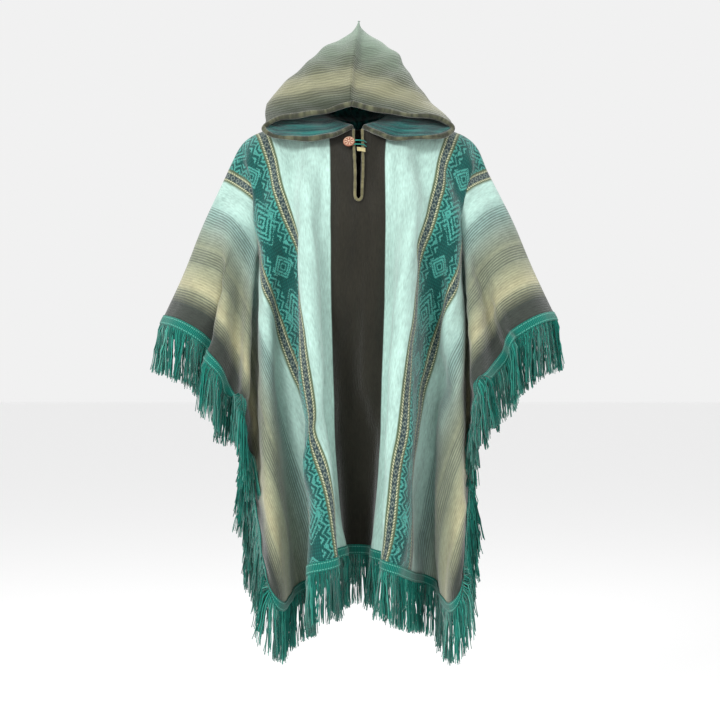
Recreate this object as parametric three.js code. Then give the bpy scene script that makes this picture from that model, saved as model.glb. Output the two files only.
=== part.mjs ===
// Hooded woven poncho, shaped as if worn, with nobody in it.
// Millimetres, +Z up, the front faces -Y. The origin is the middle of the neck, between the shoulders.
import * as THREE from 'three';

// ---------------------------------------------------------------- sizes
const HALF_WIDTH = 640;        // middle of the neck to a side edge, along the cloth
const HALF_LENGTH = 905;       // shoulder line to a hem, along the cloth
const CORNER = 84;             // radius of the cut corners
const SHOULDER_U = 215;        // middle to the shoulder point, along the cloth
const CLOTH = 2.0;             // thickness of the woven cloth
const TRIM = 1.6;              // thickness of the fringe heading
const LINING = 1.6;
const GAP = 0.35;              // air left between sewn pieces
const FRINGE_LENGTH = 100;
const NECK = { half: 74, front: 60, back: 42 };
const SLIT = { half: 7, end: 212 };

// the sheet is settled on a net of this many cells per half width and half length
const NET_U = 32;
const NET_V = 45;

// the cloth is faceted along these lines: distance from the middle, and from the shoulder line
const COLUMNS = [7, 30, 52, 74, 98, 124, 150, 176, 202, 228, 254, 280, 306, 334, 362, 392, 424, 456,
  488, 520, 552, 586, 620, 640];
const FRONT_ROWS = [0.3, 30, 60, 105, 155, 212, 268, 325, 385, 445, 505, 565, 625, 685, 745, 810, 885, 905];
const BACK_ROWS = [0.3, 21, 42, 95, 155, 215, 275, 335, 395, 455, 515, 575, 635, 695, 755, 818, 885, 905];

// ---------------------------------------------------------------- folds
// Creases that fan out from the shoulder point. turn: degrees from straight down, measured in the
// flat cloth, 90 being the line along the arm. out, fore, up: the way that crease runs in the air.
const FAN = {
  left_front: [
    { turn: 24.8, out: 0.052, fore: -0.201, up: -0.978 },
    { turn: 34.2, out: 0.0, fore: -0.042, up: -0.999 },
    { turn: 43.5, out: -0.018, fore: -0.20, up: -0.98 },
    { turn: 50, out: -0.05, fore: -0.125, up: -0.99 },
    { turn: 58, out: -0.13, fore: -0.21, up: -0.97 },
    { turn: 64, out: -0.188, fore: -0.19, up: -0.963 },
    { turn: 70, out: -0.19, fore: -0.09, up: -0.977 },
    { turn: 80, out: -0.32, fore: -0.16, up: -0.935 },
    { turn: 90, out: -0.475, fore: -0.05, up: -0.88 },
  ],
  right_front: [
    { turn: 24.8, out: -0.019, fore: -0.201, up: -0.98 },
    { turn: 36.5, out: 0.02, fore: -0.03, up: -1 },
    { turn: 48.5, out: 0.027, fore: -0.21, up: -0.977 },
    { turn: 55, out: 0.063, fore: -0.22, up: -0.97 },
    { turn: 62, out: 0.158, fore: -0.14, up: -0.975 },
    { turn: 69, out: 0.19, fore: -0.20, up: -0.96 },
    { turn: 76, out: 0.235, fore: -0.09, up: -0.967 },
    { turn: 83, out: 0.32, fore: -0.18, up: -0.93 },
    { turn: 90, out: 0.50, fore: -0.05, up: -0.865 },
  ],
  left_back: [
    { turn: 23, out: 0.01, fore: 0.19, up: -0.985 },
    { turn: 34, out: -0.02, fore: 0.02, up: -0.999 },
    { turn: 45, out: -0.03, fore: 0.20, up: -0.98 },
    { turn: 55, out: -0.09, fore: 0.06, up: -0.99 },
    { turn: 64, out: -0.16, fore: 0.19, up: -0.97 },
    { turn: 74, out: -0.26, fore: 0.06, up: -0.96 },
    { turn: 82, out: -0.35, fore: 0.13, up: -0.925 },
    { turn: 90, out: -0.475, fore: 0.0, up: -0.88 },
  ],
  right_back: [
    { turn: 21, out: 0.0, fore: 0.20, up: -0.985 },
    { turn: 33, out: 0.03, fore: 0.01, up: -0.999 },
    { turn: 44, out: 0.03, fore: 0.19, up: -0.98 },
    { turn: 53, out: 0.08, fore: 0.06, up: -0.99 },
    { turn: 63, out: 0.15, fore: 0.19, up: -0.97 },
    { turn: 73, out: 0.27, fore: 0.06, up: -0.96 },
    { turn: 82, out: 0.38, fore: 0.13, up: -0.92 },
    { turn: 90, out: 0.50, fore: 0.0, up: -0.865 },
  ],
};
const SHOULDER = { left: [-208, -10, 3], right: [208, -10, 3] };

// Creases that run down the body, from the middle outwards. Each entry is [across, down, x, y, z]:
// the place in the flat cloth, then where it hangs (x is outwards from the middle).
const BODY = {
  left_front: {
    middle: [[0, 0, 0, 0, 57], [0, 60, 0, -68, 0], [0, 150, 0, -100, -84], [0, 300, 0, -104, -230],
      [0, 500, 0, -88, -425], [0, 700, 0, -72, -620], [0, 890, 0, -58, -795]],
    foot: [[54, 0, 54, 0, 55], [54, 60, 52, -66, 5], [54, 150, 51, -98, -80], [54, 300, 50, -108, -228],
      [54, 500, 47, -98, -423], [54, 700, 40, -92, -620], [54, 890, 27, -98, -800]],
    ridge: [[110, 0, 108, 0, 43], [150, 200, 118, -118, -130], [185, 375, 112, -148, -300],
      [200, 495, 104, -168, -420], [215, 625, 95, -188, -550], [235, 780, 82, -205, -705],
      [250, 890, 66, -214, -830]],
    trough: [[180, 0, 177, 0, 26], [205, 165, 165, -98, -120], [262, 330, 140, -82, -295],
      [305, 440, 138, -70, -420], [345, 570, 113, -70, -550], [395, 730, 106, -60, -710],
      [440, 890, 98, -48, -880]],
  },
  right_front: {
    middle: [[0, 0, 0, 0, 57], [0, 60, 0, -68, 0], [0, 150, 0, -100, -84], [0, 300, 0, -104, -230],
      [0, 500, 0, -88, -425], [0, 700, 0, -72, -620], [0, 890, 0, -58, -795]],
    foot: [[54, 0, 54, 0, 55], [54, 60, 52, -66, 5], [54, 150, 51, -98, -80], [54, 300, 50, -108, -228],
      [54, 500, 47, -98, -423], [54, 700, 40, -92, -620], [54, 890, 28, -98, -800]],
    ridge: [[110, 0, 108, 0, 43], [150, 200, 118, -118, -130], [180, 375, 108, -146, -300],
      [195, 495, 98, -168, -420], [205, 625, 92, -188, -550], [220, 780, 84, -205, -705],
      [232, 890, 72, -212, -830]],
    trough: [[180, 0, 177, 0, 26], [205, 165, 165, -98, -120], [258, 330, 150, -80, -295],
      [285, 440, 132, -68, -420], [325, 570, 122, -66, -550], [375, 730, 122, -58, -710],
      [410, 890, 122, -46, -870]],
  },
  left_back: {
    middle: [[0, 0, 0, 0, 57], [0, 45, 0, 58, 20], [0, 150, 0, 108, -70], [0, 300, 0, 122, -215],
      [0, 500, 0, 118, -415], [0, 700, 0, 112, -615], [0, 890, 0, 104, -800]],
    swell: [[60, 0, 60, 0, 54], [60, 45, 56, 56, 18], [66, 150, 62, 108, -70], [72, 300, 66, 126, -215],
      [84, 500, 66, 142, -415], [100, 700, 60, 160, -615], [116, 890, 50, 178, -800]],
    hollow: [[130, 0, 128, 0, 37], [142, 200, 130, 112, -120], [158, 375, 122, 92, -300],
      [176, 495, 116, 80, -420], [196, 625, 108, 72, -550], [222, 780, 100, 62, -705],
      [240, 890, 94, 56, -820]],
    ridge: [[180, 0, 177, 0, 26], [205, 165, 175, 88, -120], [250, 330, 172, 108, -290],
      [285, 440, 168, 128, -410], [325, 570, 160, 150, -540], [375, 730, 150, 176, -700],
      [420, 890, 140, 196, -865]],
  },
  right_back: {
    middle: [[0, 0, 0, 0, 57], [0, 45, 0, 58, 20], [0, 150, 0, 108, -70], [0, 300, 0, 122, -215],
      [0, 500, 0, 118, -415], [0, 700, 0, 112, -615], [0, 890, 0, 104, -800]],
    swell: [[50, 0, 50, 0, 55], [52, 45, 50, 56, 18], [58, 150, 55, 108, -70], [66, 300, 60, 126, -215],
      [80, 500, 64, 140, -415], [98, 700, 62, 158, -615], [120, 890, 58, 176, -800]],
    hollow: [[130, 0, 128, 0, 37], [142, 200, 130, 112, -120], [156, 375, 124, 92, -300],
      [172, 495, 120, 80, -420], [190, 625, 114, 72, -550], [214, 780, 108, 62, -705],
      [232, 890, 104, 56, -820]],
    ridge: [[180, 0, 177, 0, 26], [205, 165, 175, 88, -120], [246, 330, 174, 108, -290],
      [280, 440, 172, 128, -410], [318, 570, 166, 150, -540], [366, 730, 158, 176, -700],
      [405, 890, 150, 196, -865]],
  },
};

// the general figure the cloth was shaped on: rounded bars from a to b with a radius
const ARM_LENGTH = 430;
function armBar(side, degrees) {
  const lean = degrees * Math.PI / 180;
  const a = [side * 172, -2, -62];
  const b = [a[0] + side * Math.sin(lean) * ARM_LENGTH, a[1] - 0.10 * ARM_LENGTH,
    a[2] - Math.cos(lean) * ARM_LENGTH];
  return { a, b, radius: 50 };
}
const FIGURE = [
  { a: [-175, 0, -48], b: [-40, 0, -16], radius: 58 },
  { a: [175, 0, -48], b: [40, 0, -16], radius: 58 },
  armBar(-1, 25.5),
  armBar(1, 27),
  { a: [-85, -10, -190], b: [85, -10, -190], radius: 105 },
  { a: [-80, 22, -170], b: [80, 22, -170], radius: 100 },
  { a: [-75, -8, -330], b: [75, -8, -330], radius: 98 },
];

// settling of the cloth
const SETTLE = { steps: 60, passes: 4, weight: 0.01, damping: 0.6, softening: 0.12, guide: 0.2, hold: 0.05 };

// ---------------------------------------------------------------- small vector helpers
const add = (a, b, k = 1) => [a[0] + k * b[0], a[1] + k * b[1], a[2] + k * b[2]];
const sub = (a, b) => [a[0] - b[0], a[1] - b[1], a[2] - b[2]];
const dot = (a, b) => a[0] * b[0] + a[1] * b[1] + a[2] * b[2];
const cross = (a, b) => [a[1] * b[2] - a[2] * b[1], a[2] * b[0] - a[0] * b[2], a[0] * b[1] - a[1] * b[0]];
const unit = (a) => {
  const n = Math.hypot(a[0], a[1], a[2]) || 1;
  return [a[0] / n, a[1] / n, a[2] / n];
};
const mix = (a, b, t) => a.map((value, k) => value + (b[k] - value) * t);
const clamp = (x, low, high) => Math.max(low, Math.min(high, x));

// length of the cloth from the shoulder line to the hem at distance u from the middle
function hemAt(u) {
  const into = Math.max(Math.abs(u) - (HALF_WIDTH - CORNER), 0);
  return HALF_LENGTH - CORNER + Math.sqrt(Math.max(CORNER ** 2 - into ** 2, 0));
}

// ---------------------------------------------------------------- the folds laid out
const sideOf = (u) => (u < 0 ? 'left' : 'right');
const faceOf = (v) => (v < 0 ? 'back' : 'front');

// an entry of a crease table at a distance down the cloth
function along(crease, down) {
  const last = crease.length - 1;
  let k = 1;
  while (k < last && crease[k][1] < down) k += 1;
  const t = clamp((down - crease[k - 1][1]) / (crease[k][1] - crease[k - 1][1]), 0, 1);
  return mix(crease[k - 1], crease[k], t);
}

// the direction of the fan at an angle, turning evenly from one crease to the next
function fanDirection(fan, turn) {
  let k = 1;
  while (k < fan.length - 1 && fan[k].turn < turn) k += 1;
  const t = clamp((turn - fan[k - 1].turn) / (fan[k].turn - fan[k - 1].turn), 0, 1);
  const a = unit([fan[k - 1].out, fan[k - 1].fore, fan[k - 1].up]);
  const b = unit([fan[k].out, fan[k].fore, fan[k].up]);
  const angle = Math.acos(clamp(dot(a, b), -1, 1));
  const p = Math.sin((1 - t) * angle) / Math.sin(angle);
  const q = Math.sin(t * angle) / Math.sin(angle);
  return [p * a[0] + q * b[0], p * a[1] + q * b[1], p * a[2] + q * b[2]];
}

// where a point of the flat cloth hangs before it is settled
function laidOut(u, v) {
  const name = `${sideOf(u)}_${faceOf(v)}`;
  const sign = u < 0 ? -1 : 1;
  const across = Math.abs(u);
  const down = Math.abs(v);
  const shoulder = SHOULDER[sideOf(u)];
  const fan = FAN[name];
  const first = fan[0].turn * Math.PI / 180;
  const fanStart = SHOULDER_U + down * Math.tan(first);
  if (across >= fanStart) {
    const reach = Math.hypot(across - SHOULDER_U, down);
    if (reach < 1e-6) return shoulder;
    const turn = Math.atan2(across - SHOULDER_U, down) * 180 / Math.PI;
    return add(shoulder, fanDirection(fan, turn), reach);
  }
  const knots = Object.values(BODY[name]).map((crease) => {
    const [ku, , x, y, z] = along(crease, down);
    return { u: ku, at: [sign * x, y, z] };
  });
  const edge = unit([fan[0].out, fan[0].fore, fan[0].up]);
  knots.push({ u: fanStart, at: add(shoulder, edge, down / Math.cos(first)) });
  let k = 1;
  while (k < knots.length - 1 && knots[k].u < across) k += 1;
  return mix(knots[k - 1].at, knots[k].at, (across - knots[k - 1].u) / (knots[k].u - knots[k - 1].u));
}

// ---------------------------------------------------------------- the net, and how it settles
const ROWS = 2 * NET_V + 1;
const COLS = 2 * NET_U + 1;
const netU = (j) => (j / NET_U - 1) * HALF_WIDTH;
const netV = (i, j) => (i / NET_V - 1) * hemAt(netU(j));

function layNet() {
  const net = [];
  for (let i = 0; i < ROWS; i += 1) {
    net.push([]);
    for (let j = 0; j < COLS; j += 1) net[i].push(laidOut(netU(j), netV(i, j)));
  }
  return net;
}

// evens the net out, first between rows and then between columns
function soften(net, share) {
  const between = (a, b, c) => mix(b, mix(a, c, 0.5), share);
  const rows = net.map((row, i) => (i === 0 || i === ROWS - 1 ? row
    : row.map((p, j) => between(net[i - 1][j], p, net[i + 1][j]))));
  return rows.map((row) => row.map((p, j) => (j === 0 || j === COLS - 1 ? p
    : between(row[j - 1], p, row[j + 1]))));
}

// threads that keep their length: steps between the two ends, stiffness, and whether it may pull
const THREADS = [
  { di: 0, dj: 1, stiffness: 1.0, pulls: true },
  { di: 1, dj: 0, stiffness: 1.0, pulls: true },
  { di: 1, dj: 1, stiffness: 0.35, pulls: true },
  { di: 1, dj: -1, stiffness: 0.35, pulls: true },
  { di: 0, dj: 2, stiffness: 0.10, pulls: false },
  { di: 2, dj: 0, stiffness: 0.10, pulls: false },
];

// two passes over every other thread, so no pass moves a point twice
function tighten(net, thread) {
  const { di, dj, stiffness, pulls } = thread;
  const step = Math.max(1, Math.abs(dj));
  for (let parity = 0; parity < 2; parity += 1) {
    for (let i = 0; i < ROWS - di; i += 1) {
      if (dj === 0 && Math.floor(i / di) % 2 !== parity) continue;
      for (let c = 0; c < COLS - Math.abs(dj); c += 1) {
        if (dj !== 0 && Math.floor(c / step) % 2 !== parity) continue;
        const ja = dj >= 0 ? c : c - dj;
        const jb = dj >= 0 ? c + dj : c;
        const a = net[i][ja];
        const b = net[i + di][jb];
        const rest = Math.hypot(netU(ja) - netU(jb), netV(i, ja) - netV(i + di, jb));
        const d = sub(b, a);
        const length = Math.max(Math.hypot(d[0], d[1], d[2]), 1e-9);
        let error = (length - rest) / length;
        if (!pulls) error = Math.min(error, 0);
        net[i][ja] = add(a, d, 0.5 * stiffness * error);
        net[i + di][jb] = add(b, d, -0.5 * stiffness * error);
      }
    }
  }
}

// keeps a point outside the general figure
function keepOut(p) {
  let q = p;
  for (const bar of FIGURE) {
    const axis = sub(bar.b, bar.a);
    const t = clamp(dot(sub(q, bar.a), axis) / dot(axis, axis), 0, 1);
    const centre = add(bar.a, axis, t);
    const d = sub(q, centre);
    const distance = Math.hypot(d[0], d[1], d[2]);
    if (distance < bar.radius) q = add(centre, d, bar.radius / distance);
  }
  return q;
}

// the points of the net that follow a crease of the body, and where they are led
function leads() {
  const list = [];
  for (const side of ['left', 'right']) {
    for (const face of ['front', 'back']) {
      const su = side === 'left' ? -1 : 1;
      const sv = face === 'front' ? 1 : -1;
      for (const crease of Object.values(BODY[`${side}_${face}`])) {
        for (let i = 0; i < ROWS; i += 1) {
          const down = sv * netV(i, NET_U);
          if (down < 100) continue;
          const [u, , x, y] = along(crease, down);
          list.push({ i, j: Math.round(NET_U + su * u / HALF_WIDTH * NET_U), x: su * x, y });
        }
      }
    }
  }
  return list;
}

function settledNet() {
  const laid = layNet();
  let net = laid;
  for (let n = 0; n < 3; n += 1) net = soften(net, 0.5);
  const start = net.map((row) => row.slice());
  const guides = leads();
  const collar = (i, j) => Math.abs(netU(j)) < 70 && netV(i, j) < 62 && netV(i, j) > -40;
  const inFan = (i, j) => Math.abs(netU(j)) - SHOULDER_U
    - Math.abs(netV(i, j)) * Math.tan(23 * Math.PI / 180) > -20;
  let speed = net.map((row) => row.map(() => [0, 0, 0]));
  for (let step = 0; step < SETTLE.steps; step += 1) {
    const before = net;
    net = net.map((row, i) => row.map((p, j) => {
      const s = speed[i][j];
      return add(p, [s[0] * SETTLE.damping, s[1] * SETTLE.damping, s[2] * SETTLE.damping - SETTLE.weight]);
    }));
    for (let pass = 0; pass < SETTLE.passes; pass += 1) {
      for (const thread of THREADS) tighten(net, thread);
      for (let i = 0; i < ROWS; i += 1) {
        for (let j = 0; j < COLS; j += 1) if (collar(i, j)) net[i][j] = start[i][j];
      }
      for (const g of guides) {
        const p = net[g.i][g.j];
        net[g.i][g.j] = [p[0] + SETTLE.guide * (g.x - p[0]), p[1] + SETTLE.guide * (g.y - p[1]), p[2]];
      }
      net = net.map((row, i) => row.map((p, j) => {
        const k = inFan(i, j) ? SETTLE.hold : 0;
        const l = laid[i][j];
        return keepOut([p[0] + k * (l[0] - p[0]), p[1] + k * (l[1] - p[1]), p[2]]);
      }));
    }
    net = soften(net, SETTLE.softening);
    speed = net.map((row, i) => row.map((p, j) => sub(p, before[i][j])));
  }
  return soften(net, 0.4);
}

const NET = settledNet();

// the settled cloth at a place of the flat cloth, between the four nearest points of the net
function cloth(u, v) {
  const column = clamp((u / HALF_WIDTH + 1) * NET_U, 0, COLS - 1.0001);
  const row = clamp((v / hemAt(u) + 1) * NET_V, 0, ROWS - 1.0001);
  const j = Math.floor(column);
  const i = Math.floor(row);
  const near = mix(NET[i][j], NET[i][j + 1], column - j);
  const far = mix(NET[i + 1][j], NET[i + 1][j + 1], column - j);
  return mix(near, far, row - i);
}

// ---------------------------------------------------------------- solids from grids of points
function geometryOf(points, triangles) {
  const geometry = new THREE.BufferGeometry();
  geometry.setAttribute('position', new THREE.Float32BufferAttribute(points.flat(), 3));
  geometry.setIndex(triangles.flat());
  geometry.computeVertexNormals();
  return geometry;
}

// direction square to a grid of points at each of them, facing away from the wearer
function normalsOf(grid) {
  const rows = grid.length;
  const cols = grid[0].length;
  return grid.map((row, i) => row.map((p, j) => {
    const across = sub(row[Math.min(j + 1, cols - 1)], row[Math.max(j - 1, 0)]);
    const down = sub(grid[Math.min(i + 1, rows - 1)][j], grid[Math.max(i - 1, 0)][j]);
    return unit(cross(down, across));
  }));
}

// a wall of even thickness on the cells of a grid that are kept, moved out by an offset
function wall(grid, normals, thickness, offset, keep) {
  const rows = grid.length;
  const cols = grid[0].length;
  const points = [];
  for (const level of [offset + thickness / 2, offset - thickness / 2]) {
    for (let i = 0; i < rows; i += 1) {
      for (let j = 0; j < cols; j += 1) points.push(add(grid[i][j], normals[i][j], level));
    }
  }
  const outer = (i, j) => i * cols + j;
  const inner = (i, j) => rows * cols + i * cols + j;
  const kept = (i, j) => i >= 0 && j >= 0 && i < rows - 1 && j < cols - 1 && keep(i, j);
  const triangles = [];
  const quad = (a, b, c, d) => triangles.push([a, b, c], [a, c, d]);
  // the cells are halved along the creases, which run outwards as they go down
  for (let i = 0; i < rows - 1; i += 1) {
    for (let j = 0; j < cols - 1; j += 1) {
      if (!kept(i, j)) continue;
      if (j < (cols - 1) / 2) {
        quad(outer(i + 1, j), outer(i + 1, j + 1), outer(i, j + 1), outer(i, j));
        quad(inner(i + 1, j), inner(i, j), inner(i, j + 1), inner(i + 1, j + 1));
      } else {
        quad(outer(i, j), outer(i + 1, j), outer(i + 1, j + 1), outer(i, j + 1));
        quad(inner(i, j), inner(i, j + 1), inner(i + 1, j + 1), inner(i + 1, j));
      }
      if (!kept(i - 1, j)) quad(outer(i, j), outer(i, j + 1), inner(i, j + 1), inner(i, j));
      if (!kept(i + 1, j)) quad(outer(i + 1, j + 1), outer(i + 1, j), inner(i + 1, j), inner(i + 1, j + 1));
      if (!kept(i, j - 1)) quad(outer(i + 1, j), outer(i, j), inner(i, j), inner(i + 1, j));
      if (!kept(i, j + 1)) quad(outer(i, j + 1), outer(i + 1, j + 1), inner(i + 1, j + 1), inner(i, j + 1));
    }
  }
  return geometryOf(...compact(points, triangles));
}

// leaves out the points no triangle uses
function compact(points, triangles) {
  const used = new Map();
  const kept = [];
  const renamed = triangles.map((triangle) => triangle.map((index) => {
    if (!used.has(index)) {
      used.set(index, kept.length);
      kept.push(points[index]);
    }
    return used.get(index);
  }));
  return [kept, renamed];
}

// ---------------------------------------------------------------- front and back cloth
// rounds the square hole of the facets into the oval the hood is sewn to
function aroundNeck(u, v) {
  const depth = v < 0 ? NECK.back : NECK.front;
  const square = Math.max(Math.abs(u) / NECK.half, Math.abs(v) / depth);
  const round = Math.hypot(u / NECK.half, v / depth);
  const share = clamp((2.6 - square) / 1.6, 0, 1);
  const scale = 1 + share * (square / round - 1);
  return [u * scale, v * scale];
}

// direction out of the cloth at a place of the flat cloth
function outOfCloth(u, v) {
  const h = 10;
  const across = sub(cloth(clamp(u + h, -HALF_WIDTH, HALF_WIDTH), v), cloth(clamp(u - h, -HALF_WIDTH, HALF_WIDTH), v));
  const limit = hemAt(u);
  const down = sub(cloth(u, clamp(v + h, -limit, limit)), cloth(u, clamp(v - h, -limit, limit)));
  return unit(cross(down, across));
}

// the facet grid of one face: the columns run so that the outside is the same way round on both
function panel(face) {
  const sign = face === 'front' ? 1 : -1;
  const half = sign > 0 ? FRONT_ROWS : BACK_ROWS;
  const columns = [...COLUMNS.map((u) => -u * sign).reverse(), ...COLUMNS.map((u) => u * sign)];
  const flat = half.map((down) => columns.map((u) => {
    const share = down / HALF_LENGTH;
    return aroundNeck(u, sign * share * hemAt(u));
  }));
  const grid = flat.map((row) => row.map(([u, v]) => cloth(u, v)));
  const normals = flat.map((row) => row.map(([u, v]) => outOfCloth(u, v)));
  return { face, sign, rows: half, columns, grid, normals };
}

function inNeck(p, i, j) {
  const depth = p.sign > 0 ? NECK.front : NECK.back;
  return Math.abs(p.columns[j] + p.columns[j + 1]) < 2 * NECK.half && p.rows[i + 1] <= depth;
}

function inSlit(p, i, j) {
  const between = p.columns[j] + p.columns[j + 1] === 0;
  return p.sign > 0 && between && p.rows[i + 1] <= SLIT.end;
}

const onRim = (p, i, j) => i === p.rows.length - 2 || j === 0 || j === p.columns.length - 2;

const FRONT = panel('front');
const BACK = panel('back');

function woven(p) {
  return wall(p.grid, p.normals, CLOTH, 0, (i, j) => !inNeck(p, i, j) && !inSlit(p, i, j));
}

function heading(p) {
  const offset = CLOTH / 2 + GAP + TRIM / 2;
  return wall(p.grid, p.normals, TRIM, offset, (i, j) => onRim(p, i, j));
}

// ---------------------------------------------------------------- fringe
const FRINGE = { thickness: 2.0, start: 1.6, sink: -0.8, narrowest: 0.12, steep: 0.3, level: 0.7 };
const CUFF_STATIONS = 5;       // of the edge, either side of the shoulder line
const CORNER_STATION = 13;     // where the fringe comes out of the folds again, towards the corner

// the edge of a panel from one end of the shoulder line, round the hem, to the other
function edgeOf(p) {
  const last = p.rows.length - 1;
  const end = p.columns.length - 1;
  const cells = [];
  for (let i = 0; i < last; i += 1) cells.push([i, 0]);
  for (let j = 0; j <= end; j += 1) cells.push([last, j]);
  for (let i = last - 1; i >= 0; i -= 1) cells.push([i, end]);
  return cells.map(([i, j]) => ({ at: p.grid[i][j], normal: p.normals[i][j] }));
}

// The reach of the hanging yarns: a curtain that falls straight from a level edge. Along a steep
// edge the yarns lie side by side, so it narrows to a band beside the edge.
function curtain(edge) {
  const top = [];
  const bottom = [];
  const normals = [];
  edge.forEach((point, k) => {
    const before = edge[Math.max(k - 1, 0)].at;
    const after = edge[Math.min(k + 1, edge.length - 1)].at;
    const outwards = unit(cross(sub(after, before), point.normal));
    const lean = Math.max(-outwards[2], FRINGE.narrowest);
    const band = add([0, 0, 0], outwards, lean);
    const level = clamp((lean - FRINGE.steep) / (FRINGE.level - FRINGE.steep), 0, 1);
    const fall = mix(band, [0, 0, -1], level);
    top.push(add(point.at, unit(fall), FRINGE.start));
    bottom.push(add(point.at, fall, FRINGE_LENGTH));
    normals.push(unit(cross(fall, sub(after, before))));
  });
  return wall([top, bottom], [normals, normals], FRINGE.thickness, FRINGE.sink, () => true);
}

// along the hem, from one corner of the cloth to the other
const hemFringe = (p) => curtain(edgeOf(p).slice(CORNER_STATION, -CORNER_STATION));

// round the opening for a hand, from one face over the shoulder line to the other
function cuffFringe(from, to) {
  return curtain([...edgeOf(from).slice(-CUFF_STATIONS), ...edgeOf(to).slice(0, CUFF_STATIONS)]);
}

// ---------------------------------------------------------------- hood
// Half of the hood, from the neck up to the crown seam. Each row runs from the edge of the face
// opening round to the middle of the back; x is outwards from the middle.
const HOOD_ROWS = [
  { edge: [12, -56, 8], front: [47, -41, 22], side: [67, 0, 38], rear: [48, 30, 34], back: [1, 44, 29] },
  { edge: [62, -94, -18], front: [84, -62, 16], side: [98, 0, 52], rear: [64, 52, 46], back: [1, 66, 44] },
  { edge: [122, -98, -20], front: [126, -52, 18], side: [124, 4, 52], rear: [80, 66, 62], back: [1, 80, 66] },
  { edge: [166, -86, -14], front: [160, -34, 24], side: [140, 14, 54], rear: [92, 72, 78], back: [1, 86, 88] },
  { edge: [184, -72, 4], front: [174, -26, 38], side: [148, 18, 72], rear: [96, 74, 100], back: [1, 86, 114] },
  { edge: [152, -80, 22], front: [160, -26, 58], side: [138, 20, 94], rear: [90, 70, 120], back: [1, 84, 140] },
  { edge: [106, -88, 26], front: [138, -38, 78], side: [122, 14, 114], rear: [80, 62, 142], back: [1, 76, 162] },
  { edge: [62, -92, 32], front: [106, -48, 96], side: [100, 4, 140], rear: [64, 54, 168], back: [1, 68, 186] },
  { edge: [28, -92, 40], front: [70, -52, 114], side: [70, -6, 166], rear: [40, 40, 196], back: [1, 56, 210] },
  { edge: [1, -88, 48], front: [1, -64, 104], side: [1, -34, 160], rear: [1, 2, 206], back: [1, 28, 234] },
];
const HOOD_FACETS = { up: 13, round: 8 };
const CREASE = [{ z: 40, shift: -16 }, { z: 110, shift: -13 }, { z: 170, shift: -5 }, { z: 236, shift: 2 }];

// smooth curve through a list of points, t from 0 to 1
function through(points, t) {
  const last = points.length - 1;
  const at = clamp(t, 0, 1) * last;
  const k = Math.min(Math.floor(at), last - 1);
  const f = at - k;
  const [a, b, c, d] = [points[Math.max(k - 1, 0)], points[k], points[k + 1], points[Math.min(k + 2, last)]];
  return b.map((_, n) => 0.5 * (2 * b[n] + (c[n] - a[n]) * f
    + (2 * a[n] - 5 * b[n] + 4 * c[n] - d[n]) * f * f
    + (3 * b[n] - a[n] - 3 * c[n] + d[n]) * f * f * f));
}

function creaseShift(z) {
  let k = 1;
  while (k < CREASE.length - 1 && CREASE[k].z < z) k += 1;
  const t = clamp((z - CREASE[k - 1].z) / (CREASE[k].z - CREASE[k - 1].z), 0, 1);
  return CREASE[k - 1].shift + (CREASE[k].shift - CREASE[k - 1].shift) * t;
}

function hoodHalf(side, thickness, offset) {
  const sign = side === 'left' ? -1 : 1;
  const grid = [];
  for (let i = 0; i < HOOD_FACETS.up; i += 1) {
    const t = i / (HOOD_FACETS.up - 1);
    const knots = ['edge', 'front', 'side', 'rear', 'back'].map((name) => through(HOOD_ROWS.map((row) => row[name]), t));
    const row = [];
    for (let j = 0; j < HOOD_FACETS.round; j += 1) row.push(through(knots, j / (HOOD_FACETS.round - 1)));
    // seen from outside, the right half runs from its edge to the back, the left half the other way
    const placed = row.map(([x, y, z]) => [sign * x, y, z]);
    grid.push(sign > 0 ? placed : placed.reverse());
  }
  grid.reverse();
  // at the seams the wall is built square to the middle plane, so the two halves meet cleanly
  const normals = normalsOf(grid).map((row, i) => row.map((n, j) => {
    const onSeam = Math.abs(grid[i][j][0]) < 1.5;
    return onSeam ? unit([0, n[1], n[2]]) : n;
  }));
  const geometry = wall(grid, normals, thickness, offset, () => true);
  const position = geometry.getAttribute('position');
  for (let k = 0; k < position.count; k += 1) {
    const x = sign * Math.max(sign * position.getX(k), GAP);
    const z = position.getZ(k);
    position.setX(k, x + creaseShift(z) * clamp((z - 20) / 40, 0, 1));
  }
  return geometry;
}

// ---------------------------------------------------------------- slit binding, button and loop
// a place on the facets of the front, raised off the cloth
function onFront(u, v, raise) {
  const { columns, rows, grid, normals } = FRONT;
  let j = 0;
  while (j < columns.length - 2 && columns[j + 1] < u) j += 1;
  let i = 0;
  while (i < rows.length - 2 && rows[i + 1] < v) i += 1;
  const s = (u - columns[j]) / (columns[j + 1] - columns[j]);
  const t = (v - rows[i]) / (rows[i + 1] - rows[i]);
  const blend = (g) => mix(mix(g[i][j], g[i][j + 1], s), mix(g[i + 1][j], g[i + 1][j + 1], s), t);
  return { at: add(blend(grid), unit(blend(normals)), raise), normal: unit(blend(normals)) };
}

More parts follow.
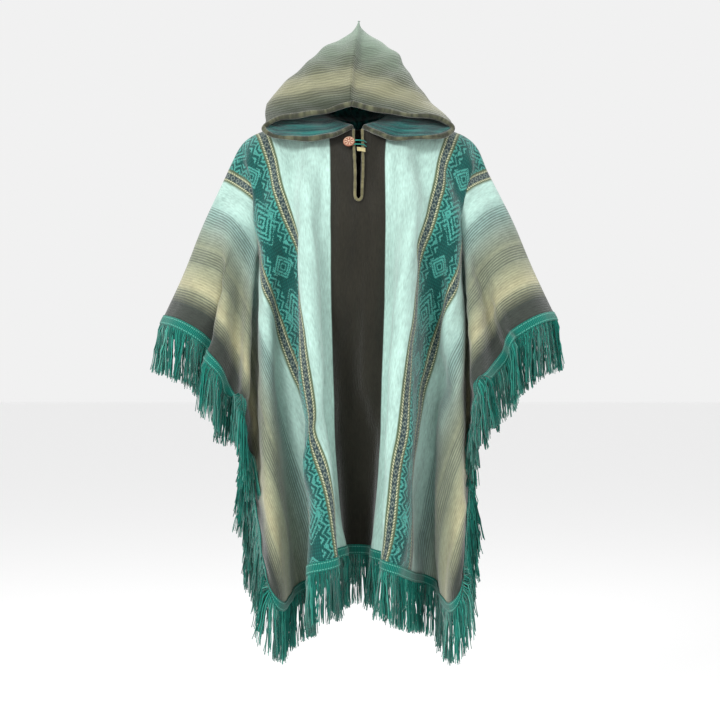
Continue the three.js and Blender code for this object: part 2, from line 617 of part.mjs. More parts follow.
// round bar along a path of { at, normal }, closed at both ends
function bar(path, radius, sides) {
  const points = [];
  const triangles = [];
  path.forEach((station, k) => {
    const before = path[Math.max(k - 1, 0)].at;
    const after = path[Math.min(k + 1, path.length - 1)].at;
    const tangent = unit(sub(after, before));
    const sideways = unit(cross(station.normal, tangent));
    const upwards = cross(tangent, sideways);
    for (let n = 0; n < sides; n += 1) {
      const angle = 2 * Math.PI * n / sides;
      const ring = add(station.at, sideways, radius * Math.cos(angle));
      points.push(add(ring, upwards, radius * Math.sin(angle)));
    }
  });
  for (let k = 0; k < path.length - 1; k += 1) {
    for (let n = 0; n < sides; n += 1) {
      const a = k * sides + n;
      const b = k * sides + (n + 1) % sides;
      triangles.push([a, b, b + sides], [a, b + sides, a + sides]);
    }
  }
  const end = (path.length - 1) * sides;
  for (let n = 1; n < sides - 1; n += 1) {
    triangles.push([0, n + 1, n], [end, end + n, end + n + 1]);
  }
  return geometryOf(points, triangles);
}

const BINDING = { radius: 2.0, across: 9.6, top: 66, bottom: 218 };
const BINDING_RAISE = CLOTH / 2 + 3 * GAP + BINDING.radius;
function slitBinding() {
  const path = [];
  const place = (u, v) => path.push(onFront(u, v, BINDING_RAISE));
  for (const v of [BINDING.top, 105, 155, 208]) place(-BINDING.across, v);
  place(-BINDING.across * 0.7, BINDING.bottom - 2.5);
  place(0, BINDING.bottom);
  place(BINDING.across * 0.7, BINDING.bottom - 2.5);
  for (const v of [208, 155, 105, BINDING.top]) place(BINDING.across, v);
  return bar(path, BINDING.radius, 8);
}

const BUTTON = { across: -19, down: 97, shank: 1.8, radius: 11.5 };
const LOOP = { radius: 1.2, start: 17, spread: 4.4 };
const LOOP_RAISE = BINDING_RAISE + BINDING.radius + GAP + LOOP.radius;
const BUTTON_BACK = LOOP_RAISE + LOOP.radius + 5 * GAP;

// profile of the button turned about its shank: radius and height over the cloth
const BUTTON_PROFILE = [
  { r: BUTTON.shank, h: CLOTH / 2 + 0.5 },
  { r: BUTTON.shank, h: BUTTON_BACK },
  { r: 9.8, h: BUTTON_BACK },
  { r: BUTTON.radius, h: BUTTON_BACK + 1.2 },
  { r: BUTTON.radius, h: BUTTON_BACK + 2.6 },
  { r: 9.4, h: BUTTON_BACK + 4.0 },
  { r: 4.0, h: BUTTON_BACK + 3.6 },
];

function button() {
  const { at, normal } = onFront(BUTTON.across, BUTTON.down, 0);
  const sides = 24;
  const right = unit(cross([0, 0, 1], normal));
  const up = cross(normal, right);
  const points = [];
  const triangles = [];
  for (const { r, h } of BUTTON_PROFILE) {
    for (let n = 0; n < sides; n += 1) {
      const angle = 2 * Math.PI * n / sides;
      points.push(add(add(add(at, normal, h), right, r * Math.cos(angle)), up, r * Math.sin(angle)));
    }
  }
  for (let k = 0; k < BUTTON_PROFILE.length - 1; k += 1) {
    for (let n = 0; n < sides; n += 1) {
      const a = k * sides + n;
      const b = k * sides + (n + 1) % sides;
      triangles.push([a, b, b + sides], [a, b + sides, a + sides]);
    }
  }
  const end = (BUTTON_PROFILE.length - 1) * sides;
  for (let n = 1; n < sides - 1; n += 1) {
    triangles.push([0, n + 1, n], [end, end + n, end + n + 1]);
  }
  return geometryOf(points, triangles);
}

// a doubled cord from the right of the slit, over both bindings and round the shank
function buttonLoop() {
  const low = CLOTH / 2 + GAP + LOOP.radius;
  const path = [];
  const strand = [[LOOP.start, low], [13, low + 3.3], [9.6, LOOP_RAISE], [0, LOOP_RAISE], [-9.6, LOOP_RAISE],
    [-14, LOOP_RAISE], [-19, LOOP_RAISE]];
  for (const [u, raise] of strand) path.push(onFront(u, BUTTON.down - LOOP.spread, raise));
  for (const angle of [30, 60, 90, 120, 150]) {
    const a = angle * Math.PI / 180;
    path.push(onFront(BUTTON.across - LOOP.spread * Math.sin(a), BUTTON.down - LOOP.spread * Math.cos(a), LOOP_RAISE));
  }
  for (const [u, raise] of strand.slice().reverse()) path.push(onFront(u, BUTTON.down + LOOP.spread, raise));
  return bar(path, LOOP.radius, 8);
}

// ---------------------------------------------------------------- the whole
const LINING_OFFSET = -(CLOTH / 2 + 4 * GAP + LINING / 2);
const part = new THREE.Group();
part.name = 'hooded_poncho';
function place(name, geometry) {
  const mesh = new THREE.Mesh(geometry, new THREE.MeshStandardMaterial());
  mesh.name = name;
  part.add(mesh);
}
place('front', woven(FRONT));
place('back', woven(BACK));
place('hood_left', hoodHalf('left', CLOTH, 0));
place('hood_right', hoodHalf('right', CLOTH, 0));
place('hood_lining_left', hoodHalf('left', LINING, LINING_OFFSET));
place('hood_lining_right', hoodHalf('right', LINING, LINING_OFFSET));
place('slit_binding', slitBinding());
place('trim_front', heading(FRONT));
place('trim_back', heading(BACK));
place('fringe_front', hemFringe(FRONT));
place('fringe_back', hemFringe(BACK));
place('fringe_left', cuffFringe(BACK, FRONT));
place('fringe_right', cuffFringe(FRONT, BACK));
place('button', button());
place('button_loop', buttonLoop());

export default part;
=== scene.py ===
"""Looks of a hooded woven poncho: striped cloth, hood, trims, fringe, carved button and materials.

Lengths are in millimetres until a mesh is made. u runs across the flat cloth from the middle, v down
it from the shoulder line: the front has v above 0 and the back below.
"""
import math

import bpy
import numpy as np
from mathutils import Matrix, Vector


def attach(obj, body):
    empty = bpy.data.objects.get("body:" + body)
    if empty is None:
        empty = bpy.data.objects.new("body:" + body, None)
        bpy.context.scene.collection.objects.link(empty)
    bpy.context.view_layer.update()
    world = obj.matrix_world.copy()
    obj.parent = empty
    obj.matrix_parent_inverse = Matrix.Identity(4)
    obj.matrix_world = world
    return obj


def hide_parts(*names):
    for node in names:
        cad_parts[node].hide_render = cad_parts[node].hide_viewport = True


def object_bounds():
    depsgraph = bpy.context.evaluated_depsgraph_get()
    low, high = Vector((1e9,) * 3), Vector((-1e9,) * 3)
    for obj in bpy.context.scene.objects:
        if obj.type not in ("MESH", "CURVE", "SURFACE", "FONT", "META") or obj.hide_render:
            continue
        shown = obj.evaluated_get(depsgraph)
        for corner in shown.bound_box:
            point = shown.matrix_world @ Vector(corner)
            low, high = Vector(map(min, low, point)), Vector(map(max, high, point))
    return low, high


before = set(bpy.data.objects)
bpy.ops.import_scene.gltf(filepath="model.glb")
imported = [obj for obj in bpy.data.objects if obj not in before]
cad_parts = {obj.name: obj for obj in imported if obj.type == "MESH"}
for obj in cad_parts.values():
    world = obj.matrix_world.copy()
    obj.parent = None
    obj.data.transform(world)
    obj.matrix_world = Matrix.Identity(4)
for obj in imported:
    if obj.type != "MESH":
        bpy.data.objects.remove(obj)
CAD_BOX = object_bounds()

# -------------------- sizes
MM = 0.001
HALF_WIDTH = 640.0
HALF_LENGTH = 905.0
CORNER = 84.0
SHOULDER_U = 215.0
CLOTH = 2.0
TRIM = 1.6
LINING = 1.6
GAP = 0.35
NECK_HALF, NECK_FRONT, NECK_BACK = 74.0, 60.0, 42.0
SLIT_HALF, SLIT_END = 7.0, 212.0
TAPE_WIDTH = 19.0
YARN_LENGTH = 98.0
RANDOM = np.random.default_rng(11)

# -------------------- folds
# Creases that fan out from the shoulder point: degrees from straight down in the flat cloth, 90 being
# the line along the arm, then the way the crease runs in the air: out, fore and up.
FAN = {
    "left_front": [
        (24.8, 0.052, -0.201, -0.978), (34.2, 0.0, -0.042, -0.999), (43.5, -0.018, -0.20, -0.98),
        (50, -0.05, -0.125, -0.99), (58, -0.13, -0.21, -0.97), (64, -0.188, -0.19, -0.963),
        (70, -0.19, -0.09, -0.977), (80, -0.32, -0.16, -0.935), (90, -0.475, -0.05, -0.88)],
    "right_front": [
        (24.8, -0.019, -0.201, -0.98), (36.5, 0.02, -0.03, -1), (48.5, 0.027, -0.21, -0.977),
        (55, 0.063, -0.22, -0.97), (62, 0.158, -0.14, -0.975), (69, 0.19, -0.20, -0.96),
        (76, 0.235, -0.09, -0.967), (83, 0.32, -0.18, -0.93), (90, 0.50, -0.05, -0.865)],
    "left_back": [
        (23, 0.01, 0.19, -0.985), (34, -0.02, 0.02, -0.999), (45, -0.03, 0.20, -0.98),
        (55, -0.09, 0.06, -0.99), (64, -0.16, 0.19, -0.97), (74, -0.26, 0.06, -0.96),
        (82, -0.35, 0.13, -0.925), (90, -0.475, 0.0, -0.88)],
    "right_back": [
        (21, 0.0, 0.20, -0.985), (33, 0.03, 0.01, -0.999), (44, 0.03, 0.19, -0.98),
        (53, 0.08, 0.06, -0.99), (63, 0.15, 0.19, -0.97), (73, 0.27, 0.06, -0.96),
        (82, 0.38, 0.13, -0.92), (90, 0.50, 0.0, -0.865)],
}

# Creases that run down the body, from the middle outwards. Each entry is [across, down, x, y, z]:
# the place in the flat cloth, then where it hangs (x is outwards from the middle).
FRONT_MIDDLE = [[0, 0, 0, 0, 57], [0, 60, 0, -68, 0], [0, 150, 0, -100, -84], [0, 300, 0, -104, -230],
                [0, 500, 0, -88, -425], [0, 700, 0, -72, -620], [0, 890, 0, -58, -795]]
BACK_MIDDLE = [[0, 0, 0, 0, 57], [0, 45, 0, 58, 20], [0, 150, 0, 108, -70], [0, 300, 0, 122, -215],
               [0, 500, 0, 118, -415], [0, 700, 0, 112, -615], [0, 890, 0, 104, -800]]
BODY = {
    "left_front": {
        "middle": FRONT_MIDDLE,
        "foot": [[54, 0, 54, 0, 55], [54, 60, 52, -66, 5], [54, 150, 51, -98, -80],
            [54, 300, 50, -108, -228], [54, 500, 47, -98, -423], [54, 700, 40, -92, -620],
            [54, 890, 27, -98, -800]],
        "ridge": [[110, 0, 108, 0, 43], [150, 200, 118, -118, -130], [185, 375, 112, -148, -300],
            [200, 495, 104, -168, -420], [215, 625, 95, -188, -550], [235, 780, 82, -205, -705],
            [250, 890, 66, -214, -830]],
        "trough": [[180, 0, 177, 0, 26], [205, 165, 165, -98, -120], [262, 330, 140, -82, -295],
            [305, 440, 138, -70, -420], [345, 570, 113, -70, -550], [395, 730, 106, -60, -710],
            [440, 890, 98, -48, -880]],
    },
    "right_front": {
        "middle": FRONT_MIDDLE,
        "foot": [[54, 0, 54, 0, 55], [54, 60, 52, -66, 5], [54, 150, 51, -98, -80],
            [54, 300, 50, -108, -228], [54, 500, 47, -98, -423], [54, 700, 40, -92, -620],
            [54, 890, 28, -98, -800]],
        "ridge": [[110, 0, 108, 0, 43], [150, 200, 118, -118, -130], [180, 375, 108, -146, -300],
            [195, 495, 98, -168, -420], [205, 625, 92, -188, -550], [220, 780, 84, -205, -705],
            [232, 890, 72, -212, -830]],
        "trough": [[180, 0, 177, 0, 26], [205, 165, 165, -98, -120], [258, 330, 150, -80, -295],
            [285, 440, 132, -68, -420], [325, 570, 122, -66, -550], [375, 730, 122, -58, -710],
            [410, 890, 122, -46, -870]],
    },
    "left_back": {
        "middle": BACK_MIDDLE,
        "swell": [[60, 0, 60, 0, 54], [60, 45, 56, 56, 18], [66, 150, 62, 108, -70],
            [72, 300, 66, 126, -215], [84, 500, 66, 142, -415], [100, 700, 60, 160, -615],
            [116, 890, 50, 178, -800]],
        "hollow": [[130, 0, 128, 0, 37], [142, 200, 130, 112, -120], [158, 375, 122, 92, -300],
            [176, 495, 116, 80, -420], [196, 625, 108, 72, -550], [222, 780, 100, 62, -705],
            [240, 890, 94, 56, -820]],
        "ridge": [[180, 0, 177, 0, 26], [205, 165, 175, 88, -120], [250, 330, 172, 108, -290],
            [285, 440, 168, 128, -410], [325, 570, 160, 150, -540], [375, 730, 150, 176, -700],
            [420, 890, 140, 196, -865]],
    },
    "right_back": {
        "middle": BACK_MIDDLE,
        "swell": [[50, 0, 50, 0, 55], [52, 45, 50, 56, 18], [58, 150, 55, 108, -70],
            [66, 300, 60, 126, -215], [80, 500, 64, 140, -415], [98, 700, 62, 158, -615],
            [120, 890, 58, 176, -800]],
        "hollow": [[130, 0, 128, 0, 37], [142, 200, 130, 112, -120], [156, 375, 124, 92, -300],
            [172, 495, 120, 80, -420], [190, 625, 114, 72, -550], [214, 780, 108, 62, -705],
            [232, 890, 104, 56, -820]],
        "ridge": [[180, 0, 177, 0, 26], [205, 165, 175, 88, -120], [246, 330, 174, 108, -290],
            [280, 440, 172, 128, -410], [318, 570, 166, 150, -540], [366, 730, 158, 176, -700],
            [405, 890, 150, 196, -865]],
    },
}
SHOULDER = {"left": (-208, -10, 3), "right": (208, -10, 3)}

# The general figure the cloth was shaped on: rounded bars from a to b with a radius.
ARM_LENGTH = 430.0


def arm_bar(side, degrees):
    lean = math.radians(degrees)
    a = np.array((side * 172.0, -2.0, -62.0))
    b = a + ARM_LENGTH * np.array((side * math.sin(lean), -0.10, -math.cos(lean)))
    return a, b, 50.0


FIGURE = [
    (np.array((-175.0, 0, -48)), np.array((-40.0, 0, -16)), 58.0),
    (np.array((175.0, 0, -48)), np.array((40.0, 0, -16)), 58.0),
    arm_bar(-1, 25.5),
    arm_bar(1, 27.0),
    (np.array((-85.0, -10, -190)), np.array((85.0, -10, -190)), 105.0),
    (np.array((-80.0, 22, -170)), np.array((80.0, 22, -170)), 100.0),
    (np.array((-75.0, -8, -330)), np.array((75.0, -8, -330)), 98.0),
]


# -------------------- the net of the cloth, and its settling
NET_U, NET_V = 32, 45
COLS, ROWS = 2 * NET_U + 1, 2 * NET_V + 1
STEPS, PASSES = 60, 4
WEIGHT, DAMPING, SOFTENING = 0.01, 0.6, 0.12
GUIDE, HOLD = 0.2, 0.05        # how strongly the creases lead the net, and the fan keeps its place
GUIDED_FROM = 100.0            # distance from the shoulder line where the leading starts
COLLAR_HALF, COLLAR_FRONT, COLLAR_BACK = 70.0, 62.0, 40.0
FAN_EDGE = math.tan(math.radians(23))
FAN_MARGIN = 20.0


def hem_at(u):
    """Length of the cloth from the shoulder line to the hem at distance u from the middle."""
    into = np.maximum(np.abs(u) - (HALF_WIDTH - CORNER), 0.0)
    return HALF_LENGTH - CORNER + np.sqrt(np.maximum(CORNER**2 - into**2, 0.0))


def unit(vectors):
    return vectors / np.maximum(np.linalg.norm(vectors, axis=-1, keepdims=True), 1e-9)


FLAT_U = np.tile(np.linspace(-HALF_WIDTH, HALF_WIDTH, COLS), (ROWS, 1))
FLAT_V = np.linspace(-1.0, 1.0, ROWS)[:, None] * hem_at(FLAT_U)


def fan_direction(fan, turn):
    """The way the cloth runs at an angle of the fan, turning evenly from one crease to the next."""
    turns = [row[0] for row in fan]
    k = min(max(int(np.searchsorted(turns, turn)), 1), len(fan) - 1)
    t = min(max((turn - turns[k - 1]) / (turns[k] - turns[k - 1]), 0.0), 1.0)
    a, b = unit(np.array(fan[k - 1][1:])), unit(np.array(fan[k][1:]))
    angle = math.acos(min(max(float(a @ b), -1.0), 1.0))
    return (math.sin((1 - t) * angle) * a + math.sin(t * angle) * b) / math.sin(angle)


def along(crease, down):
    """A crease of the body at a distance down the cloth: its place across, then x, y and z."""
    rows = np.array(crease, float)
    return [np.interp(down, rows[:, 1], rows[:, k]) for k in (0, 2, 3, 4)]


def laid_out(u, v):
    """Where a point of the flat cloth hangs before it is settled."""
    side = "left" if u < 0 else "right"
    name = f"{side}_{'back' if v < 0 else 'front'}"
    sign = -1 if u < 0 else 1
    across, down = abs(u), abs(v)
    shoulder, fan = np.array(SHOULDER[side], float), FAN[name]
    first = math.radians(fan[0][0])
    fan_start = SHOULDER_U + down * math.tan(first)
    if across >= fan_start:
        reach = math.hypot(across - SHOULDER_U, down)
        turn = math.degrees(math.atan2(across - SHOULDER_U, down))
        return shoulder + reach * fan_direction(fan, turn)
    knots = []
    for crease in BODY[name].values():
        ku, x, y, z = along(crease, down)
        knots.append((ku, sign * x, y, z))
    edge = shoulder + down / math.cos(first) * unit(np.array(fan[0][1:]))
    knots.append((fan_start, *edge))
    knots = np.array(knots)
    return np.array([np.interp(across, knots[:, 0], knots[:, k]) for k in (1, 2, 3)])


def soften(net, share):
    rows = net.copy()
    rows[1:-1] += share * (0.5 * (net[:-2] + net[2:]) - net[1:-1])
    done = rows.copy()
    done[:, 1:-1] += share * (0.5 * (rows[:, :-2] + rows[:, 2:]) - rows[:, 1:-1])
    return done


# Threads that keep their length: steps between the two ends, stiffness, and whether they may pull.
THREADS = [(0, 1, 1.0, True), (1, 0, 1.0, True), (1, 1, 0.35, True), (1, -1, 0.35, True),
           (0, 2, 0.10, False), (2, 0, 0.10, False)]


def tighten(net, di, dj, stiffness, pulls):
    """Two passes over every other thread, so that no pass moves a point twice."""
    for parity in (0, 1):
        rows = np.arange(ROWS - di)
        cols = np.arange(COLS - abs(dj))
        if dj:
            cols = cols[(cols // abs(dj)) % 2 == parity]
        else:
            rows = rows[(rows // di) % 2 == parity]
        start = cols - min(dj, 0)
        a = np.ix_(rows, start)
        b = np.ix_(rows + di, start + dj)
        d = net[b] - net[a]
        rest = np.hypot(FLAT_U[a] - FLAT_U[b], FLAT_V[a] - FLAT_V[b])
        length = np.maximum(np.linalg.norm(d, axis=-1), 1e-9)
        error = (length - rest) / length
        if not pulls:
            error = np.minimum(error, 0.0)
        move = 0.5 * stiffness * error[..., None] * d
        net[a] += move
        net[b] -= move


def keep_out(net):
    """Keeps the net outside the general figure."""
    for a, b, radius in FIGURE:
        axis = b - a
        t = np.clip((net - a) @ axis / (axis @ axis), 0, 1)
        centre = a + t[..., None] * axis
        d = net - centre
        distance = np.linalg.norm(d, axis=-1, keepdims=True)
        net = np.where(distance < radius, centre + d * radius / np.maximum(distance, 1e-9), net)
    return net


def leads():
    """The points of the net that follow a crease of the body, and where they are led."""
    found = []
    for su, side in ((-1, "left"), (1, "right")):
        for sv, face in ((1, "front"), (-1, "back")):
            for crease in BODY[f"{side}_{face}"].values():
                for i in range(ROWS):
                    down = sv * FLAT_V[i, NET_U]
                    if down >= GUIDED_FROM:
                        u, x, y, _ = along(crease, down)
                        found.append((i, round(NET_U + su * u / HALF_WIDTH * NET_U), su * x, y))
    return np.array(found)


def settled_net():
    laid = np.array([[laid_out(FLAT_U[i, j], FLAT_V[i, j]) for j in range(COLS)] for i in range(ROWS)])
    net = laid
    for _ in range(3):
        net = soften(net, 0.5)
    collar = (np.abs(FLAT_U) < COLLAR_HALF) & (FLAT_V < COLLAR_FRONT) & (FLAT_V > -COLLAR_BACK)
    pinned = net[collar].copy()
    guides = leads()
    gi, gj = guides[:, 0].astype(int), guides[:, 1].astype(int)
    fan = np.abs(FLAT_U) - SHOULDER_U - np.abs(FLAT_V) * FAN_EDGE > -FAN_MARGIN
    hold = np.where(fan, HOLD, 0.0)[..., None]
    speed = np.zeros_like(net)
    for _ in range(STEPS):
        before = net.copy()
        net = net + speed * DAMPING
        net[..., 2] -= WEIGHT
        for _ in range(PASSES):
            for thread in THREADS:
                tighten(net, *thread)
            net[collar] = pinned
            net[gi, gj, :2] += GUIDE * (guides[:, 2:] - net[gi, gj, :2])
            net[..., :2] += hold * (laid[..., :2] - net[..., :2])
            net = keep_out(net)
        net = soften(net, SOFTENING)
        speed = net - before
    return soften(net, 0.4)


NET = np.pad(settled_net(), ((1, 2), (1, 2), (0, 0)), mode="reflect", reflect_type="odd")


def cubic(t):
    """Weights of four neighbours for a smooth curve at t between the middle two."""
    return (-0.5 * t + t**2 - 0.5 * t**3, 1 - 2.5 * t**2 + 1.5 * t**3,
            0.5 * t + 2 * t**2 - 1.5 * t**3, -0.5 * t**2 + 0.5 * t**3)


def smooth_cloth(u, v):
    column = np.clip((u / HALF_WIDTH + 1) * NET_U, 0, COLS - 1.0001)
    row = np.clip((v / hem_at(u) + 1) * NET_V, 0, ROWS - 1.0001)
    j, i = np.floor(column).astype(int), np.floor(row).astype(int)
    point = np.zeros(u.shape + (3,))
    for a, wa in enumerate(cubic(row - i)):
        for b, wb in enumerate(cubic(column - j)):
            point += (wa * wb)[..., None] * NET[i + a, j + b]
    return point


def out_of_cloth(u, v, h=8.0):
    """Direction out of the cloth, away from the wearer."""
    limit = hem_at(u)
    across = smooth_cloth(np.minimum(u + h, HALF_WIDTH), v) - smooth_cloth(np.maximum(u - h, -HALF_WIDTH), v)
    down = smooth_cloth(u, np.minimum(v + h, limit)) - smooth_cloth(u, np.maximum(v - h, -limit))
    return unit(np.cross(down, across))


def ripple(u, v):
    """Small soft waves down the cloth, fading out round the neck and shoulders.

    Each sine's factor is its height, and each divisor how far apart its waves are.
    """
    loose = np.clip((np.abs(v) - 40) / 160, 0, 1) * np.clip((np.abs(u) - 30) / 50, 0, 1)
    wander = 9 * np.sin(v / 61 + 0.7) + 6 * np.sin(v / 33 + u / 90)
    waves = 0.9 * np.sin((u + wander) / 6.8) * (0.55 + 0.45 * np.sin(v / 78 + u / 47))
    waves += 1.5 * np.sin((u - 0.8 * wander) / 13.1 + 1.9) * (0.5 + 0.5 * np.sin(v / 101 - u / 83 + 2.1))
    dents = 0.7 * np.sin(v / 19 + 2.2 * np.sin(u / 57)) * np.sin(u / 31 + 1.2 * np.sin(v / 71))
    return loose * (waves + dents)


def cloth_at(u, v, raise_by=0.0):
    """The cloth at places of the flat cloth, with its small waves, raised off its middle."""
    return smooth_cloth(u, v) + out_of_cloth(u, v) * (ripple(u, v) + raise_by)[..., None]


# -------------------- meshes
def make_object(name, points, faces, flat, material, thickness=0.0):
    """A smooth piece from points in millimetres, with the flat place of each point as its UV, in metres."""
    mesh = bpy.data.meshes.new(name)
    mesh.from_pydata((np.asarray(points) * MM).tolist(), [], [list(face) for face in faces])
    layer = mesh.uv_layers.new(name="flat")
    corner = np.zeros(len(mesh.loops), np.int32)
    mesh.loops.foreach_get("vertex_index", corner)
    layer.data.foreach_set("uv", (np.asarray(flat)[corner] * MM).astype(np.float32).ravel())
    mesh.polygons.foreach_set("use_smooth", np.ones(len(mesh.polygons), bool))
    mesh.materials.append(material)
    piece = bpy.data.objects.new(name, mesh)
    bpy.context.scene.collection.objects.link(piece)
    if thickness:
        wall = piece.modifiers.new("thickness", "SOLIDIFY")
        wall.thickness = thickness * MM
        wall.offset = 0
        wall.use_even_offset = False
    return piece


def grid_faces(rows, cols, closed=False, keep=None):
    """Four-sided faces of a grid, facing the way rows x columns do; closed joins its last column."""
    i, j = np.meshgrid(np.arange(rows - 1), np.arange(cols if closed else cols - 1), indexing="ij")
    if keep is not None:
        i, j = i[keep], j[keep]
    i, j = i.ravel(), j.ravel()
    after = (j + 1) % cols
    return np.stack([i * cols + j, (i + 1) * cols + j, (i + 1) * cols + after, i * cols + after], -1)


def bar_faces(rings, sides):
    """Faces of a bar made of rings of points, closed at both ends."""
    faces = grid_faces(rings, sides, closed=True)[:, ::-1].tolist()
    faces.append(list(range(sides))[::-1])
    faces.append([(rings - 1) * sides + n for n in range(sides)])
    return faces


def tube(path, normals, radius, sides):
    """A round bar along a path, closed at both ends, as (points, faces, flat)."""
    path = np.asarray(path, float)
    tangent = unit(np.gradient(path, axis=0))
    sideways = unit(np.cross(normals, tangent))
    upwards = np.cross(tangent, sideways)
    angle = 2 * np.pi * np.arange(sides) / sides
    thick = np.broadcast_to(np.asarray(radius, float), (len(path),))
    across, up = np.cos(angle)[None, :, None], np.sin(angle)[None, :, None]
    ring = across * sideways[:, None] + up * upwards[:, None]
    points = (path[:, None] + thick[:, None, None] * ring).reshape(-1, 3)
    run = np.concatenate([[0], np.cumsum(np.linalg.norm(np.diff(path, axis=0), axis=1))])
    flat = np.stack([np.broadcast_to(run[:, None], (len(path), sides)),
                     np.broadcast_to(angle[None, :], (len(path), sides))], -1)
    return points, bar_faces(len(path), sides), flat.reshape(-1, 2)


def dress(piece, slot, *nodes):
    """Rides the piece on the one body, and stands it for its solids."""
    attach(piece, "root")
    if nodes:
        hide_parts(*nodes)
    return piece


# -------------------- materials
def linear(level):
    """One channel of a screen colour, 0 to 255, as the linear value that a shader takes."""
    share = level / 255
    return share / 12.92 if share <= 0.04045 else ((share + 0.055) / 1.055) ** 2.4


def colour(red, green, blue):
    return (linear(red), linear(green), linear(blue), 1.0)


BROWN = colour(37, 35, 28)
PALE = colour(166, 197, 187)
OLIVE = colour(84, 98, 72)
CREAM = colour(184, 184, 154)
NAVY = colour(46, 62, 66)
SLATE = colour(112, 124, 114)
DEEP = colour(10, 68, 64)
TURQUOISE = colour(76, 160, 148)
MIST = colour(138, 168, 160)
KHAKI = colour(132, 138, 116)
TAN = colour(150, 152, 124)
CHARCOAL = colour(56, 60, 55)
GREEN = colour(22, 128, 112)
GREEN_DARK = colour(8, 78, 70)
GREEN_PALE = colour(96, 176, 158)


